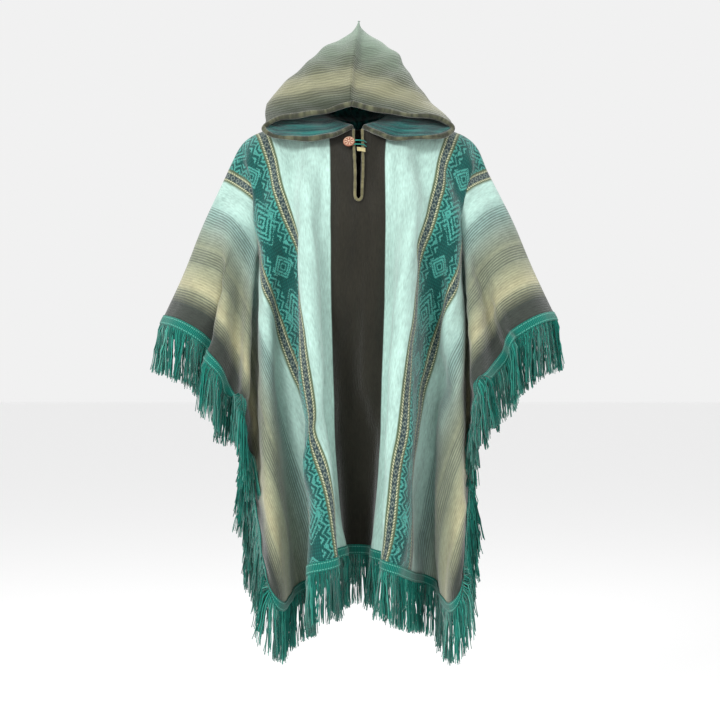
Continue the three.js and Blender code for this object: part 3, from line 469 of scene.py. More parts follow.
class Cloth:
    """A fabric material, and short ways to write its sums."""

    def __init__(self, name, roughness=0.92, sheen=0.35):
        self.material = bpy.data.materials.new(name)
        self.material.use_nodes = True
        self.nodes = self.material.node_tree.nodes
        self.links = self.material.node_tree.links
        self.shader = self.nodes["Principled BSDF"]
        self.shader.inputs["Roughness"].default_value = roughness
        self.shader.inputs["Specular IOR Level"].default_value = 0.2
        self.shader.inputs["Sheen Weight"].default_value = sheen
        self.shader.inputs["Sheen Roughness"].default_value = 0.45
        flat = self.nodes.new("ShaderNodeUVMap")
        flat.uv_map = "flat"
        split = self.nodes.new("ShaderNodeSeparateXYZ")
        self.links.new(flat.outputs[0], split.inputs[0])
        self.flat = flat.outputs[0]
        self.u = self.times(split.outputs[0], 1000.0)
        self.v = self.times(split.outputs[1], 1000.0)

    def put(self, socket, value):
        if isinstance(value, bpy.types.NodeSocket):
            self.links.new(value, socket)
        else:
            socket.default_value = value

    def sum(self, operation, *values):
        node = self.nodes.new("ShaderNodeMath")
        node.operation = operation
        for socket, value in zip(node.inputs, values):
            self.put(socket, value)
        return node.outputs[0]

    def times(self, a, b):
        return self.sum("MULTIPLY", a, b)

    def plus(self, a, b):
        return self.sum("ADD", a, b)

    def minus(self, a, b):
        return self.sum("SUBTRACT", a, b)

    def rise(self, value, low, high):
        """0 below low, 1 above high, and smooth between."""
        node = self.nodes.new("ShaderNodeMapRange")
        node.interpolation_type = "SMOOTHSTEP"
        self.put(node.inputs["Value"], value)
        node.inputs["From Min"].default_value = low
        node.inputs["From Max"].default_value = high
        return node.outputs["Result"]

    def between(self, value, low, high, soft=0.6):
        up = self.rise(value, low - soft, low + soft)
        down = self.rise(value, high + soft, high - soft)
        return self.times(up, down)

    def wave(self, value, period, shift=0.0):
        """0 to 1 and back in each period."""
        turns = self.sum("MULTIPLY_ADD", value, 2 * math.pi / period, shift)
        return self.sum("MULTIPLY_ADD", self.sum("SINE", turns), 0.5, 0.5)

    def fold(self, value, period):
        """Distance to the nearest multiple of the period."""
        return self.sum("ABSOLUTE", self.sum("WRAP", value, period / 2, -period / 2))

    def stepped(self, value, size):
        whole = self.sum("FLOOR", self.sum("DIVIDE", value, size))
        return self.times(self.plus(whole, 0.5), size)

    def mix(self, share, a, b, way="MIX"):
        node = self.nodes.new("ShaderNodeMix")
        node.data_type = "RGBA"
        node.blend_type = way
        self.put(node.inputs["Factor"], share)
        self.put(node.inputs["A"], a)
        self.put(node.inputs["B"], b)
        for socket in node.inputs:
            if socket.type == "RGBA" and socket.name in "AB" and not socket.is_linked:
                socket.default_value = a if socket.name == "A" else b
        return next(out for out in node.outputs if out.type == "RGBA")

    def ramp(self, value, stops, length):
        """Colours at distances, given in millimetres over the length."""
        node = self.nodes.new("ShaderNodeValToRGB")
        self.put(node.inputs[0], self.sum("DIVIDE", value, length))
        elements = node.color_ramp.elements
        for k, (place, shade) in enumerate(stops):
            element = elements[k] if k < 2 else elements.new(place / length)
            element.position = place / length
            element.color = shade
        return node.outputs[0]

    def noise(self, scale, detail=2.0, stretch=(1.0, 1.0, 1.0)):
        """Cloudy variation over the flat cloth; scale is in clouds per metre."""
        mapping = self.nodes.new("ShaderNodeMapping")
        self.links.new(self.flat, mapping.inputs["Vector"])
        mapping.inputs["Scale"].default_value = stretch
        node = self.nodes.new("ShaderNodeTexNoise")
        self.links.new(mapping.outputs[0], node.inputs["Vector"])
        node.inputs["Scale"].default_value = scale
        node.inputs["Detail"].default_value = detail
        return node.outputs[0]

    def wander(self, value, scale, reach):
        """A value pushed to and fro by clouds, by up to half the reach."""
        return self.plus(value, self.times(self.minus(self.noise(scale, 1.0), 0.5), reach))

    def ribbed(self, value, groups):
        """Ribs across a value, in groups: from, to, and how strongly they show."""
        ribs = 0.0
        for low, high, strength in groups:
            group = self.times(self.between(value, low, high, 1.5), strength)
            ribs = self.plus(ribs, self.times(group, self.wave(value, RIB)))
        return ribs

    def paint(self, base):
        self.links.new(base, self.shader.inputs["Base Color"])
        return self.material

    def relief(self, height, strength, depth):
        """Stands the surface out by a height; depth is in millimetres."""
        bump = self.nodes.new("ShaderNodeBump")
        bump.inputs["Strength"].default_value = strength
        bump.inputs["Distance"].default_value = depth * MM
        self.links.new(height, bump.inputs["Height"])
        self.links.new(bump.outputs[0], self.shader.inputs["Normal"])

    def finish(self, base, height, nap=0.26, depth=1.2):
        """Adds the nap's mottling and fibres to a colour, and the weave and nap to the relief."""
        clouds = self.noise(34, 4.0, (1.0, 0.30, 1.0))
        fibres = self.noise(300, 3.0, (1.0, 0.25, 1.0))
        grain = self.plus(self.times(clouds, 0.5), self.times(fibres, 0.5))
        light = self.sum("MULTIPLY_ADD", self.minus(grain, 0.5), 6.0 * nap, 1.0)
        weave = self.times(self.wave(self.u, WEAVE), self.wave(self.v, WEAVE))
        nap_height = self.sum("MULTIPLY_ADD", weave, 0.35, self.times(fibres, 1.2))
        self.relief(self.plus(nap_height, height), 0.8, depth)
        return self.paint(self.mix(1.0, base, light, way="MULTIPLY"))


NARROW_BAND = 28.0             # width of the two narrow patterned bands
JACQUARD = (212.0, 302.0)      # where the wide patterned band lies
MOTIF = 200.0                  # repeat of the wide band's pattern
STITCH = 2.5                   # the size of its steps
LARGE_REACH, RING_GAP = 40.0, 10.0
SMALL_REACH, SMALL_RING_GAP = 27.0, 8.0
ZIGZAG, TOOTH = 24.0, 8.0      # from one zigzag or tooth of it to the next
DASH, LOZENGE = 5.6, 15.0      # from one dash or lozenge of a narrow band to the next
RIB = 5.2                      # from one rib to the next
WEAVE = 2.1                    # from one thread to the next
RIB_PAINTED_SHADE = 0.72               # how dark the painted shade in the rib grooves is

# Ground colours from the middle of the cloth outwards, in millimetres.
STRIPES = [(0, BROWN), (60, BROWN), (62, PALE), (183, PALE), (184, OLIVE), (211, OLIVE), (213, DEEP),
           (301, DEEP), (303, OLIVE), (329, OLIVE), (331, PALE), (366, PALE), (400, MIST),
           (436, colour(136, 150, 136)), (466, KHAKI), (500, KHAKI), (520, TAN),
           (548, colour(172, 168, 134)), (564, TAN), (590, CHARCOAL), (640, CHARCOAL)]
# Groups of ribs: from, to, and how strongly they show, in the relief and in the painted shade of their
# grooves.
RIBS = [(386, 422, 0.85), (422, 464, 0.5), (470, 504, 0.85), (504, 554, 0.3), (558, 592, 0.9),
        (592, 640, 0.4)]


def narrow_band(cloth, base, across, start):
    """Olive edges, two rows of slanted cream dashes, and a dark middle with small stepped lozenges."""
    inside = cloth.between(across, start, start + NARROW_BAND)
    from_middle = cloth.sum("ABSOLUTE", cloth.minus(across, start + NARROW_BAND / 2))
    slant = cloth.sum("MULTIPLY_ADD", from_middle, 0.9, cloth.v)
    dash = cloth.rise(cloth.fold(slant, DASH), 0.9, 1.5)
    row = cloth.between(from_middle, 6.6, 9.8, 0.5)
    base = cloth.mix(cloth.times(inside, cloth.times(row, dash)), base, CREAM)
    middle = cloth.times(inside, cloth.rise(from_middle, 6.2, 5.4))
    lozenge = cloth.plus(cloth.stepped(from_middle, 1.5), cloth.stepped(cloth.fold(cloth.v, LOZENGE), 1.5))
    grey = cloth.between(lozenge, 3.4, 6.2, 0.4)
    heart = cloth.mix(grey, NAVY, SLATE)
    return cloth.mix(middle, base, heart)


def wide_pattern(cloth, side, down):
    """Where the light thread shows: side is the way off the band's middle, down the way along it."""
    # the large lozenge and its rings
    ring = cloth.plus(side, cloth.times(down, 0.72))
    large = cloth.times(cloth.rise(cloth.fold(ring, RING_GAP), 2.8, 2.0),
                        cloth.rise(ring, LARGE_REACH, LARGE_REACH - 1.0))
    # the small lozenge half way to the next large one
    small_ring = cloth.plus(side, cloth.minus(MOTIF / 2, down))
    small = cloth.times(cloth.rise(cloth.fold(small_ring, SMALL_RING_GAP), 2.3, 1.6),
                        cloth.rise(small_ring, SMALL_REACH, SMALL_REACH - 1.0))
    # zigzags at both sides
    zigzag = cloth.plus(side, cloth.fold(down, ZIGZAG))
    lines = cloth.times(cloth.rise(cloth.fold(cloth.minus(zigzag, 38.0), ZIGZAG / 2), 2.6, 1.9),
                        cloth.rise(side, 19.0, 20.0))
    # small squares in the corners, and teeth along both edges
    square = cloth.times(cloth.between(side, 27.0, 35.0, 0.3), cloth.between(down, 57.0, 66.0, 0.3))
    teeth = cloth.times(cloth.rise(side, 40.0, 40.5), cloth.rise(cloth.fold(cloth.v, TOOTH), 2.2, 1.6))
    light = large
    for part in (small, lines, square, teeth):
        light = cloth.sum("MAXIMUM", light, part)
    return light


def wide_band(cloth, base, across):
    """Stepped lozenges in rings, small squares between them and a toothed edge, light on deep teal."""
    inside = cloth.between(across, *JACQUARD)
    off_middle = cloth.sum("ABSOLUTE", cloth.minus(across, (JACQUARD[0] + JACQUARD[1]) / 2))
    down = cloth.fold(cloth.v, MOTIF)
    light = wide_pattern(cloth, cloth.stepped(off_middle, STITCH), cloth.stepped(down, STITCH))
    # the light thread floats unevenly over the dark one
    broken = cloth.rise(cloth.noise(240, 2.0), 0.30, 0.46)
    light = cloth.times(cloth.times(inside, light), broken)
    speckle = cloth.times(cloth.wave(cloth.u, 4.4), cloth.wave(cloth.v, 6.2))
    base = cloth.mix(cloth.times(inside, cloth.times(speckle, 0.45)), base, colour(30, 112, 104))
    return cloth.mix(cloth.times(light, 0.8), base, TURQUOISE), light


def striped_cloth():
    cloth = Cloth("striped_wool")
    across = cloth.wander(cloth.sum("ABSOLUTE", cloth.u), 9, 2.2)
    base = cloth.ramp(across, STRIPES, HALF_WIDTH)
    ribs = cloth.ribbed(across, RIBS)
    # Painted shade: the cloth is darkened where the ribs sink into grooves in the relief.
    base = cloth.mix(cloth.times(ribs, RIB_PAINTED_SHADE), base, colour(58, 68, 62))
    base = narrow_band(cloth, base, across, JACQUARD[0] - NARROW_BAND)
    base = narrow_band(cloth, base, across, JACQUARD[1])
    base, figured = wide_band(cloth, base, across)
    return cloth.finish(base, cloth.minus(cloth.times(figured, 0.5), ribs))


# Colours of the hood by height: millimetres above a level that is 60 below the middle of the neck.
HOOD_BASE = -60.0
HOOD_TOP = 240.0
HOOD_STRIPES = [(0, colour(50, 54, 46)), (112, colour(62, 68, 56)), (122, colour(84, 90, 76)),
                (138, colour(110, 112, 92)), (152, colour(140, 139, 112)), (172, colour(130, 130, 105)),
                (190, colour(102, 108, 90)), (214, colour(98, 110, 94)), (240, colour(108, 124, 108)),
                (264, colour(122, 140, 124)), (300, colour(134, 156, 140))]
HOOD_RIBS = [(110, 142, 0.85), (142, 176, 0.4), (176, 208, 0.85), (208, 244, 0.45)]


def hood_cloth():
    cloth = Cloth("hood_wool")
    up = cloth.wander(cloth.plus(cloth.v, -HOOD_BASE), 14, 5.0)
    base = cloth.ramp(up, HOOD_STRIPES, HOOD_TOP - HOOD_BASE)
    ribs = cloth.ribbed(up, HOOD_RIBS)
    # Painted shade: the hood is darkened where the ribs sink into grooves in the relief.
    base = cloth.mix(cloth.times(ribs, RIB_PAINTED_SHADE), base, colour(50, 56, 44))
    return cloth.finish(base, cloth.times(ribs, -1.0))


def plain_cloth(name, base, other, nap=0.12, sheen=0.35):
    """One colour with a cloudy mix of another."""
    cloth = Cloth(name, sheen=sheen)
    shade = cloth.mix(cloth.rise(cloth.noise(60, 3.0), 0.40, 0.66), base, other)
    return cloth.finish(shade, 0.0, nap)


def tape_cloth():
    """The fringe heading: ribs across it, and a line of stitches near each edge. v is the way across."""
    cloth = Cloth("heading_tape", sheen=0.25)
    ribs = cloth.wave(cloth.u, 3.4)
    # Painted shade and painted light: darker between the ribs and lighter on their crests, following the
    # relief.
    base = cloth.mix(ribs, GREEN_DARK, GREEN)
    stitch = 0.0
    for place in (3.6, 15.4):
        line = cloth.between(cloth.v, place - 0.9, place + 0.9, 0.3)
        thread = cloth.rise(cloth.fold(cloth.u, 5.2), 2.0, 1.5)
        stitch = cloth.plus(stitch, cloth.times(line, thread))
    base = cloth.mix(cloth.times(stitch, 0.75), base, GREEN_PALE)
    groove = cloth.times(cloth.between(cloth.v, 2.4, 4.8, 0.5), -1.2)
    height = cloth.plus(cloth.plus(ribs, stitch), groove)
    return cloth.finish(base, height, 0.12, 0.8)


def yarn_cloth():
    """Fringe yarns: u is a number of each yarn's own, v the way down it."""
    cloth = Cloth("fringe_yarn", sheen=0.3)
    own = cloth.sum("FRACT", cloth.u)
    base = cloth.ramp(own, [(0.0, GREEN_DARK), (0.35, colour(14, 104, 92)), (0.7, GREEN),
                            (0.9, colour(46, 150, 132)), (1.0, GREEN_PALE)], 1.0)
    twist = cloth.wave(cloth.v, 3.0)
    base = cloth.mix(cloth.times(twist, 0.25), base, GREEN_DARK)
    cloth.relief(twist, 0.5, 0.4)
    return cloth.paint(base)


PETALS = 8


def button_wood():
    """Carved wood: u is the distance from the middle, v the angle in thousandths of a turn."""
    cloth = Cloth("carved_wood", roughness=0.42, sheen=0.0)
    cloth.shader.inputs["Specular IOR Level"].default_value = 0.5
    ring = cloth.noise(500, 3.0)
    base = cloth.mix(ring, colour(116, 62, 44), colour(158, 96, 70))
    petals = cloth.wave(cloth.v, 1000.0 / PETALS)
    cut = cloth.times(cloth.between(cloth.u, 3.2, 8.4, 0.5), cloth.rise(petals, 0.62, 0.78))
    rim = cloth.between(cloth.u, 9.2, 10.0, 0.25)
    heart = cloth.rise(cloth.u, 1.9, 1.5)
    pale = cloth.sum("MAXIMUM", cloth.sum("MAXIMUM", cut, rim), heart)
    base = cloth.mix(cloth.times(pale, 0.85), base, colour(214, 188, 160))
    return cloth.paint(base)


STRIPED = striped_cloth()
HOOD = hood_cloth()
TAPE = tape_cloth()
YARN = yarn_cloth()
LINING_CLOTH = plain_cloth("teal_lining", colour(10, 62, 62), colour(30, 110, 104), 0.16)
BINDING_CLOTH = plain_cloth("olive_binding", colour(96, 92, 66), colour(122, 116, 84))
RIM_CLOTH = plain_cloth("dark_rim", colour(52, 54, 42), colour(92, 94, 72), 0.2, 0.5)
LOOP_CLOTH = plain_cloth("teal_cord", colour(16, 112, 100), colour(52, 150, 132))
TAB_CLOTH = plain_cloth("cream_tab", colour(196, 184, 140), colour(170, 158, 112))
WOOD = button_wood()


# -------------------- front and back
PANEL_HALF_COLUMNS = np.linspace(SLIT_HALF, HALF_WIDTH, 127)
PANEL_ROWS = np.linspace(0.0, HALF_LENGTH, 181)


def nearest(values, wanted):
    return values[np.argmin(np.abs(values - wanted))]


HOLE_HALF = nearest(PANEL_HALF_COLUMNS, NECK_HALF)
HOLE_DEPTH = {1: nearest(PANEL_ROWS, NECK_FRONT), -1: nearest(PANEL_ROWS, NECK_BACK)}


def round_neck(u, v, sign):
    """Draws the square hole of the grid in to the oval that the hood is sewn to."""
    depth = HOLE_DEPTH[sign]
    square = np.maximum(np.abs(u) / HOLE_HALF, np.abs(v) / depth)
    oval = np.hypot(u / HOLE_HALF, v / depth)
    share = np.clip((2.6 - square) / 1.6, 0, 1)
    scale = 1 + share * (square / np.maximum(oval, 1e-9) - 1)
    return u * scale, v * scale


def panel(name, sign):
    """The front or back cloth, with half the neck hole and, in front, the slit."""
    columns = sign * np.concatenate([-PANEL_HALF_COLUMNS[::-1], PANEL_HALF_COLUMNS])
    share = PANEL_ROWS / HALF_LENGTH
    u, v = np.meshgrid(columns, PANEL_ROWS)
    v = sign * share[:, None] * hem_at(u)
    u, v = round_neck(u, v, sign)
    points = cloth_at(u, v)
    middle_u = np.abs(columns[:-1] + columns[1:])[None, :] / 2
    below = PANEL_ROWS[1:, None]
    hole = (middle_u < HOLE_HALF) & (below <= HOLE_DEPTH[sign] + 0.1)
    slit = (middle_u < SLIT_HALF) & (below <= SLIT_END) & (sign > 0)
    faces = grid_faces(*u.shape, keep=~(hole | slit))
    flat = np.stack([u, v], -1).reshape(-1, 2)
    used = np.unique(faces)
    place = np.zeros(u.size, int)
    place[used] = np.arange(len(used))
    points = points.reshape(-1, 3)[used]
    piece = make_object(f"{name}_cloth", points, place[faces], flat[used], STRIPED, CLOTH)
    return dress(piece, "cloth", name)


# -------------------- the outline, its tape and its fringe
SIDE = HALF_LENGTH - CORNER
ARC = CORNER * math.pi / 2
HEM = 2 * (HALF_WIDTH - CORNER)
OUTLINE = 2 * SIDE + 2 * ARC + HEM


def outline(run):
    """The edge of a flat panel from one end of the shoulder line round to the other, and the way off it."""
    run = np.asarray(run, float)
    mirrored = np.minimum(run, OUTLINE - run)
    sign = np.where(run < OUTLINE / 2, -1.0, 1.0)
    angle = np.clip((mirrored - SIDE) / CORNER, 0, math.pi / 2)
    past = np.maximum(mirrored - SIDE - ARC, 0)
    u = HALF_WIDTH - CORNER + CORNER * np.cos(angle) - past
    v = np.minimum(mirrored, SIDE) + CORNER * np.sin(angle)
    return sign * u, v, sign * np.cos(angle), np.sin(angle)


def tape(name, sign):
    run = np.linspace(0.0, OUTLINE, 760)
    into = np.array([0.4, 1.6, 6.0, 10.0, 14.0, 17.8, TAPE_WIDTH])
    u, v, off_u, off_v = (part[:, None] for part in outline(run))
    flat_u = sign * (u - off_u * into)
    flat_v = sign * (v - off_v * into)
    sunk = np.array([-0.5, 0.0, 0.25, 0.3, 0.25, 0.0, -0.5])
    points = cloth_at(flat_u, flat_v, CLOTH / 2 + GAP + TRIM / 2 + sunk)
    flat = np.stack([np.broadcast_to(run[:, None], flat_u.shape), np.broadcast_to(into, flat_u.shape)], -1)
    faces = grid_faces(*flat_u.shape)
    piece = make_object(f"{name}_tape", points.reshape(-1, 3), faces, flat.reshape(-1, 2), TAPE, TRIM)
    return dress(piece, "trim", name)


YARN_STEPS = 8
YARN_SIDES = 3
YARN_SPACING = 1.2
YARN_INSET = 1.5               # from the edge of the cloth in to where a yarn starts
CLUMP = 6                      # yarns that hang together
GATHER = 0.35                  # how far their ends draw together
STRAY, CLUMP_STRAY = 0.05, 0.06
FRIZZ = 0.13
LENGTH_SPREAD = 0.05
HANGING_FROM = 2.2             # steps until a yarn hangs straight down


def yarn_paths(run, sign):
    """Points down each yarn that starts at a place of the outline, and the way out of the cloth there."""
    count = len(run)
    u, v, off_u, off_v = outline(run)
    root_u, root_v = sign * (u - off_u * YARN_INSET), sign * (v - off_v * YARN_INSET)
    root = cloth_at(root_u, root_v)
    normal = out_of_cloth(root_u, root_v)
    off = unit(root - cloth_at(sign * (u - off_u * 14), sign * (v - off_v * 14)))
    clump = np.repeat(RANDOM.normal(0, 1, (count // CLUMP, 3)), CLUMP, axis=0)
    stray = STRAY * RANDOM.normal(0, 1, (count, 3)) + CLUMP_STRAY * clump
    stray[:, 2] = 0
    down = np.array((0.0, 0.0, -1.0))
    first = unit(0.9 * off + 0.6 * down)
    last = unit(down + 0.10 * off + stray)
    length = YARN_LENGTH * (1 + LENGTH_SPREAD * RANDOM.normal(0, 1, count)).clip(0.82, 1.06)
    bend = RANDOM.normal(0, FRIZZ, (count, 3))
    points = [root + normal * RANDOM.uniform(-0.7, 0.9, count)[:, None]]
    for k in range(1, YARN_STEPS):
        share = min(k / HANGING_FROM, 1.0)
        way = unit((1 - share) * first + share * last + bend * math.sin(2.1 * k))
        points.append(points[-1] + way * (length / (YARN_STEPS - 1))[:, None])
    return gathered(np.stack(points, 1)), normal


def gathered(path):
    """Draws the lower ends of each clump of yarns together."""
    bundles = path.reshape(-1, CLUMP, YARN_STEPS, 3)
    gather = GATHER * np.linspace(0, 1, YARN_STEPS)[:, None]
    return (bundles + gather * (bundles.mean(1, keepdims=True) - bundles)).reshape(-1, YARN_STEPS, 3)


def yarn_rings(path, normal):
    """Rings of points round each yarn, thinner towards its end."""
    tangent = unit(np.gradient(path, axis=1))
    sideways = unit(np.cross(normal[:, None], tangent))
    upwards = np.cross(tangent, sideways)
    radius = np.linspace(1.2, 0.8, YARN_STEPS)
    lines = []
    for n in range(YARN_SIDES):
        angle = 2 * math.pi * n / YARN_SIDES
        lines.append(path + radius[None, :, None] * (math.cos(angle) * sideways + math.sin(angle) * upwards))
    return np.stack(lines, 2)


def yarn_faces(count):
    """Faces of all the yarns, each closed at its free end."""
    one = grid_faces(YARN_STEPS, YARN_SIDES, closed=True)[:, ::-1]
    step = YARN_STEPS * YARN_SIDES
    sides = (one[None] + np.arange(count)[:, None, None] * step).reshape(-1, 4).tolist()
    ends = np.arange(count)[:, None] * step + np.arange(step - YARN_SIDES, step)
    return sides + ends.tolist()


def yarns(name, sign, low, high, node):
    """Hanging yarns on a stretch of the outline, as one mesh."""
    count = int((high - low) / YARN_SPACING / CLUMP) * CLUMP
    run = np.linspace(low, high, count) + RANDOM.uniform(-0.6, 0.6, count)
    rings = yarn_rings(*yarn_paths(np.clip(run, 0, OUTLINE), sign))
    flat = np.zeros(rings.shape[:3] + (2,))
    flat[..., 0] = RANDOM.uniform(0.02, 0.98, count)[:, None, None]
    flat[..., 1] = (np.arange(YARN_STEPS) * YARN_LENGTH / (YARN_STEPS - 1))[None, :, None]
    faces = yarn_faces(count)
    piece = make_object(f"{name}_yarns", rings.reshape(-1, 3), faces, flat.reshape(-1, 2), YARN)
    return dress(piece, "fringe", node)


# -------------------- hood
# Half of the hood, from the neck up to the crown seam. Each row runs from the edge of the face
# opening round to the middle of the back; x is outwards from the middle.
# Columns: edge, front, side, rear, back.
HOOD_ROWS = [
    [[12, -56, 8], [47, -41, 22], [67, 0, 38], [48, 30, 34], [1, 44, 29]],
    [[62, -94, -18], [84, -62, 16], [98, 0, 52], [64, 52, 46], [1, 66, 44]],
    [[122, -98, -20], [126, -52, 18], [124, 4, 52], [80, 66, 62], [1, 80, 66]],
    [[166, -86, -14], [160, -34, 24], [140, 14, 54], [92, 72, 78], [1, 86, 88]],
    [[184, -72, 4], [174, -26, 38], [148, 18, 72], [96, 74, 100], [1, 86, 114]],
    [[152, -80, 22], [160, -26, 58], [138, 20, 94], [90, 70, 120], [1, 84, 140]],
    [[106, -88, 26], [138, -38, 78], [122, 14, 114], [80, 62, 142], [1, 76, 162]],
    [[62, -92, 32], [106, -48, 96], [100, 4, 140], [64, 54, 168], [1, 68, 186]],
    [[28, -92, 40], [70, -52, 114], [70, -6, 166], [40, 40, 196], [1, 56, 210]],
    [[1, -88, 48], [1, -64, 104], [1, -34, 160], [1, 2, 206], [1, 28, 234]],
]
HOOD_UP, HOOD_ROUND = 110, 76
SEWN_ROWS = 6
HOOD_SLOPE = {"left": 0.12, "right": 0.30}       # how steeply the stripes fall towards the sides
CROWN_CREASE = [(40, -16), (110, -13), (170, -5), (236, 2)]    # height, and how far the seam leans over


def through(points, t):
    """Smooth curve through a list of points, t from 0 to 1."""
    points = np.asarray(points, float)
    last = len(points) - 1
    at = np.clip(t, 0, 1) * last
    k = np.minimum(np.floor(at).astype(int), last - 1)
    f = at - k
    w = cubic(f)
    near = [np.maximum(k - 1, 0), k, k + 1, np.minimum(k + 2, last)]
    shape = (len(at),) + (1,) * (points.ndim - 1)
    return sum(wk.reshape(shape) * points[n] for wk, n in zip(w, near))


def lean(points):
    """Leans the crown seam over, as the CAD hood has it."""
    heights, shifts = zip(*CROWN_CREASE)
    z = points[..., 2]
    moved = points.copy()
    moved[..., 0] += np.interp(z, heights, shifts) * np.clip((z - 20) / 40, 0, 1)
    return moved


def sewn_edge(ring, sign):
    """The lowest rows of the hood, from under the edge of the neck hole up to the ring above it."""
    x, y = np.abs(ring[:, 0]), ring[:, 1]
    angle = np.arctan2(x / 67, np.where(y < 0, -y / 56, -y / 44))
    depth = np.where(np.cos(angle) > 0, NECK_FRONT, NECK_BACK)
    under = cloth_at(sign * 1.07 * NECK_HALF * np.sin(angle), 1.07 * depth * np.cos(angle), -2.6)
    under[:, 0] = sign * np.maximum(sign * under[:, 0], 0.02)
    share = np.linspace(0, 1, SEWN_ROWS, endpoint=False)[:, None, None]
    return under + share * (ring - under)


def hood_surface(sign):
    """Grid of points of a hood half, upwards and round from the face to the back."""
    knots = through(HOOD_ROWS, np.linspace(0, 1, HOOD_UP))
    grid = through(np.swapaxes(knots, 0, 1), np.linspace(0, 1, HOOD_ROUND))
    grid = np.swapaxes(grid, 0, 1)
    x = grid[..., 0]
    grid[..., 0] = sign * np.where(x < 8, np.maximum(x - 1, 0.02) * 8 / 7, x)
    return np.concatenate([sewn_edge(grid[0], sign), grid])


def grid_normals(grid, sign):
    up = np.gradient(grid, axis=0)
    round_ = np.gradient(grid, axis=1)
    return unit(np.cross(round_, up)) * sign


def hood_folds(grid, sign):
    """Soft folds of the hood: how far each point stands out.

    Each sine's factor is its height, and the divisors are how far apart the folds are. The crown seam
    is a ridge, rounded on the left and with a crease beside it on the right.
    """
    x, y, z = np.abs(grid[..., 0]), grid[..., 1], grid[..., 2]
    crown = np.clip((z - 46) / 40, 0, 1) * np.clip((40 - y) / 80, 0, 1)
    if sign < 0:
        ridge = 8.0 * np.exp(-x / 26)
    else:
        ridge = 8.0 * np.exp(-x / 5) - 6.0 * x / 16 * np.exp(1 - x / 16)
    folds = np.zeros_like(x)
    folds += 2.4 * np.sin(z / 17 + x / 31 + sign) * np.clip((120 - np.abs(y)) / 120, 0, 1)
    folds += 1.8 * np.sin(z / 9 - x / 16 + 2 * sign) * np.exp(-(((x - 70) / 60) ** 2))
    folds += 1.2 * np.sin((x + 0.4 * z) / 8 + sign) * np.clip((z - 60) / 60, 0, 1)
    return folds * np.clip(x / 12, 0, 1) + ridge * crown


def hood_half(side, raise_by, material, name, thickness):
    sign = -1 if side == "left" else 1
    grid = hood_surface(sign)
    normals = grid_normals(grid, sign)
    off_seam = np.clip(np.abs(grid[..., 0]) / 10, 0, 1)
    normals[..., 0] *= off_seam
    normals = unit(normals)
    stand = hood_folds(grid, sign) * np.clip(np.arange(-SEWN_ROWS, HOOD_UP) / 12, 0, 1)[:, None]
    slope = HOOD_SLOPE[side] * np.abs(grid[..., 0])
    flat = np.stack([np.broadcast_to(np.arange(HOOD_ROUND) * 4.5, grid.shape[:2]), grid[..., 2] + slope], -1)
    points = lean(grid + normals * (stand + raise_by)[..., None])
    faces = grid_faces(*grid.shape[:2])
    if sign > 0:
        faces = faces[:, ::-1]
    spots = points.reshape(-1, 3)
    piece = make_object(f"{name}_cloth", spots, faces, flat.reshape(-1, 2), material, thickness)
    rim = points[SEWN_ROWS:, 0], normals[SEWN_ROWS:, 0]
    return dress(piece, "lining" if "lining" in name else "hood_cloth", name), rim


def hood_rim(name, side, rim):
    """The thick rolled edge of the face opening."""
    path, normals = rim
    sign = -1 if side == "left" else 1
    t = np.linspace(0, 1, len(path))
    radius = 4.8 + 1.1 * np.sin(t * 19 + sign) * np.sin(t * 7) + 2.2 * np.clip(t - 0.5, 0, 1)
    piece = make_object(name, *tube(path, normals, radius, 14), RIM_CLOTH)
    return dress(piece, "hood_cloth")


# -------------------- slit binding, button and loop
BINDING_RADIUS, BINDING_U, BINDING_TOP, BINDING_LOW = 2.9, 8.8, 64.0, 206.0
BINDING_RAISE = CLOTH / 2 + 0.4 + BINDING_RADIUS
BUTTON_U, BUTTON_V, BUTTON_RADIUS = -19.0, 97.0, 11.5
LOOP_RADIUS, LOOP_START, LOOP_SPREAD = 1.2, 17.0, 4.4
LOOP_RAISE = BINDING_RAISE + BINDING_RADIUS + GAP + LOOP_RADIUS


def on_front(places):
    """Places (u, v, raise) of the front as points in the air, and the way out of the cloth there."""
    u, v, up = np.array(places, float).T
    return cloth_at(u, v, up), out_of_cloth(u, v)


def slit_binding():
    straight = np.linspace(BINDING_TOP, BINDING_LOW, 44)
    angles = np.linspace(0, math.pi, 20)[1:-1]
    left = [(-BINDING_U, v, BINDING_RAISE) for v in straight]
    turn = [(-BINDING_U * math.cos(a), BINDING_LOW + 1.15 * BINDING_U * math.sin(a), BINDING_RAISE)
            for a in angles]
    right = [(BINDING_U, v, BINDING_RAISE) for v in straight[::-1]]
    path, normals = on_front(left + turn + right)
    k = np.arange(len(path))
    radius = BINDING_RADIUS + 0.35 * np.sin(k * 0.9) * np.sin(k * 0.23)
    piece = make_object("slit_binding_roll", *tube(path, normals, radius, 14), BINDING_CLOTH)
    return dress(piece, "binding", "slit_binding")


def binding_tab():
    """The turned upper end of the binding, a short flat tab across the slit under the loop."""
    u, v = np.meshgrid(np.linspace(-3.0, 13.0, 12), np.linspace(108.0, 116.0, 6))
    points = cloth_at(u, v, BINDING_RAISE + BINDING_RADIUS + 0.9)
    flat = np.stack([u, v], -1)
    faces = grid_faces(*u.shape)
    piece = make_object("binding_tab", points.reshape(-1, 3), faces, flat.reshape(-1, 2), TAB_CLOTH, 1.6)
    return dress(piece, "binding")


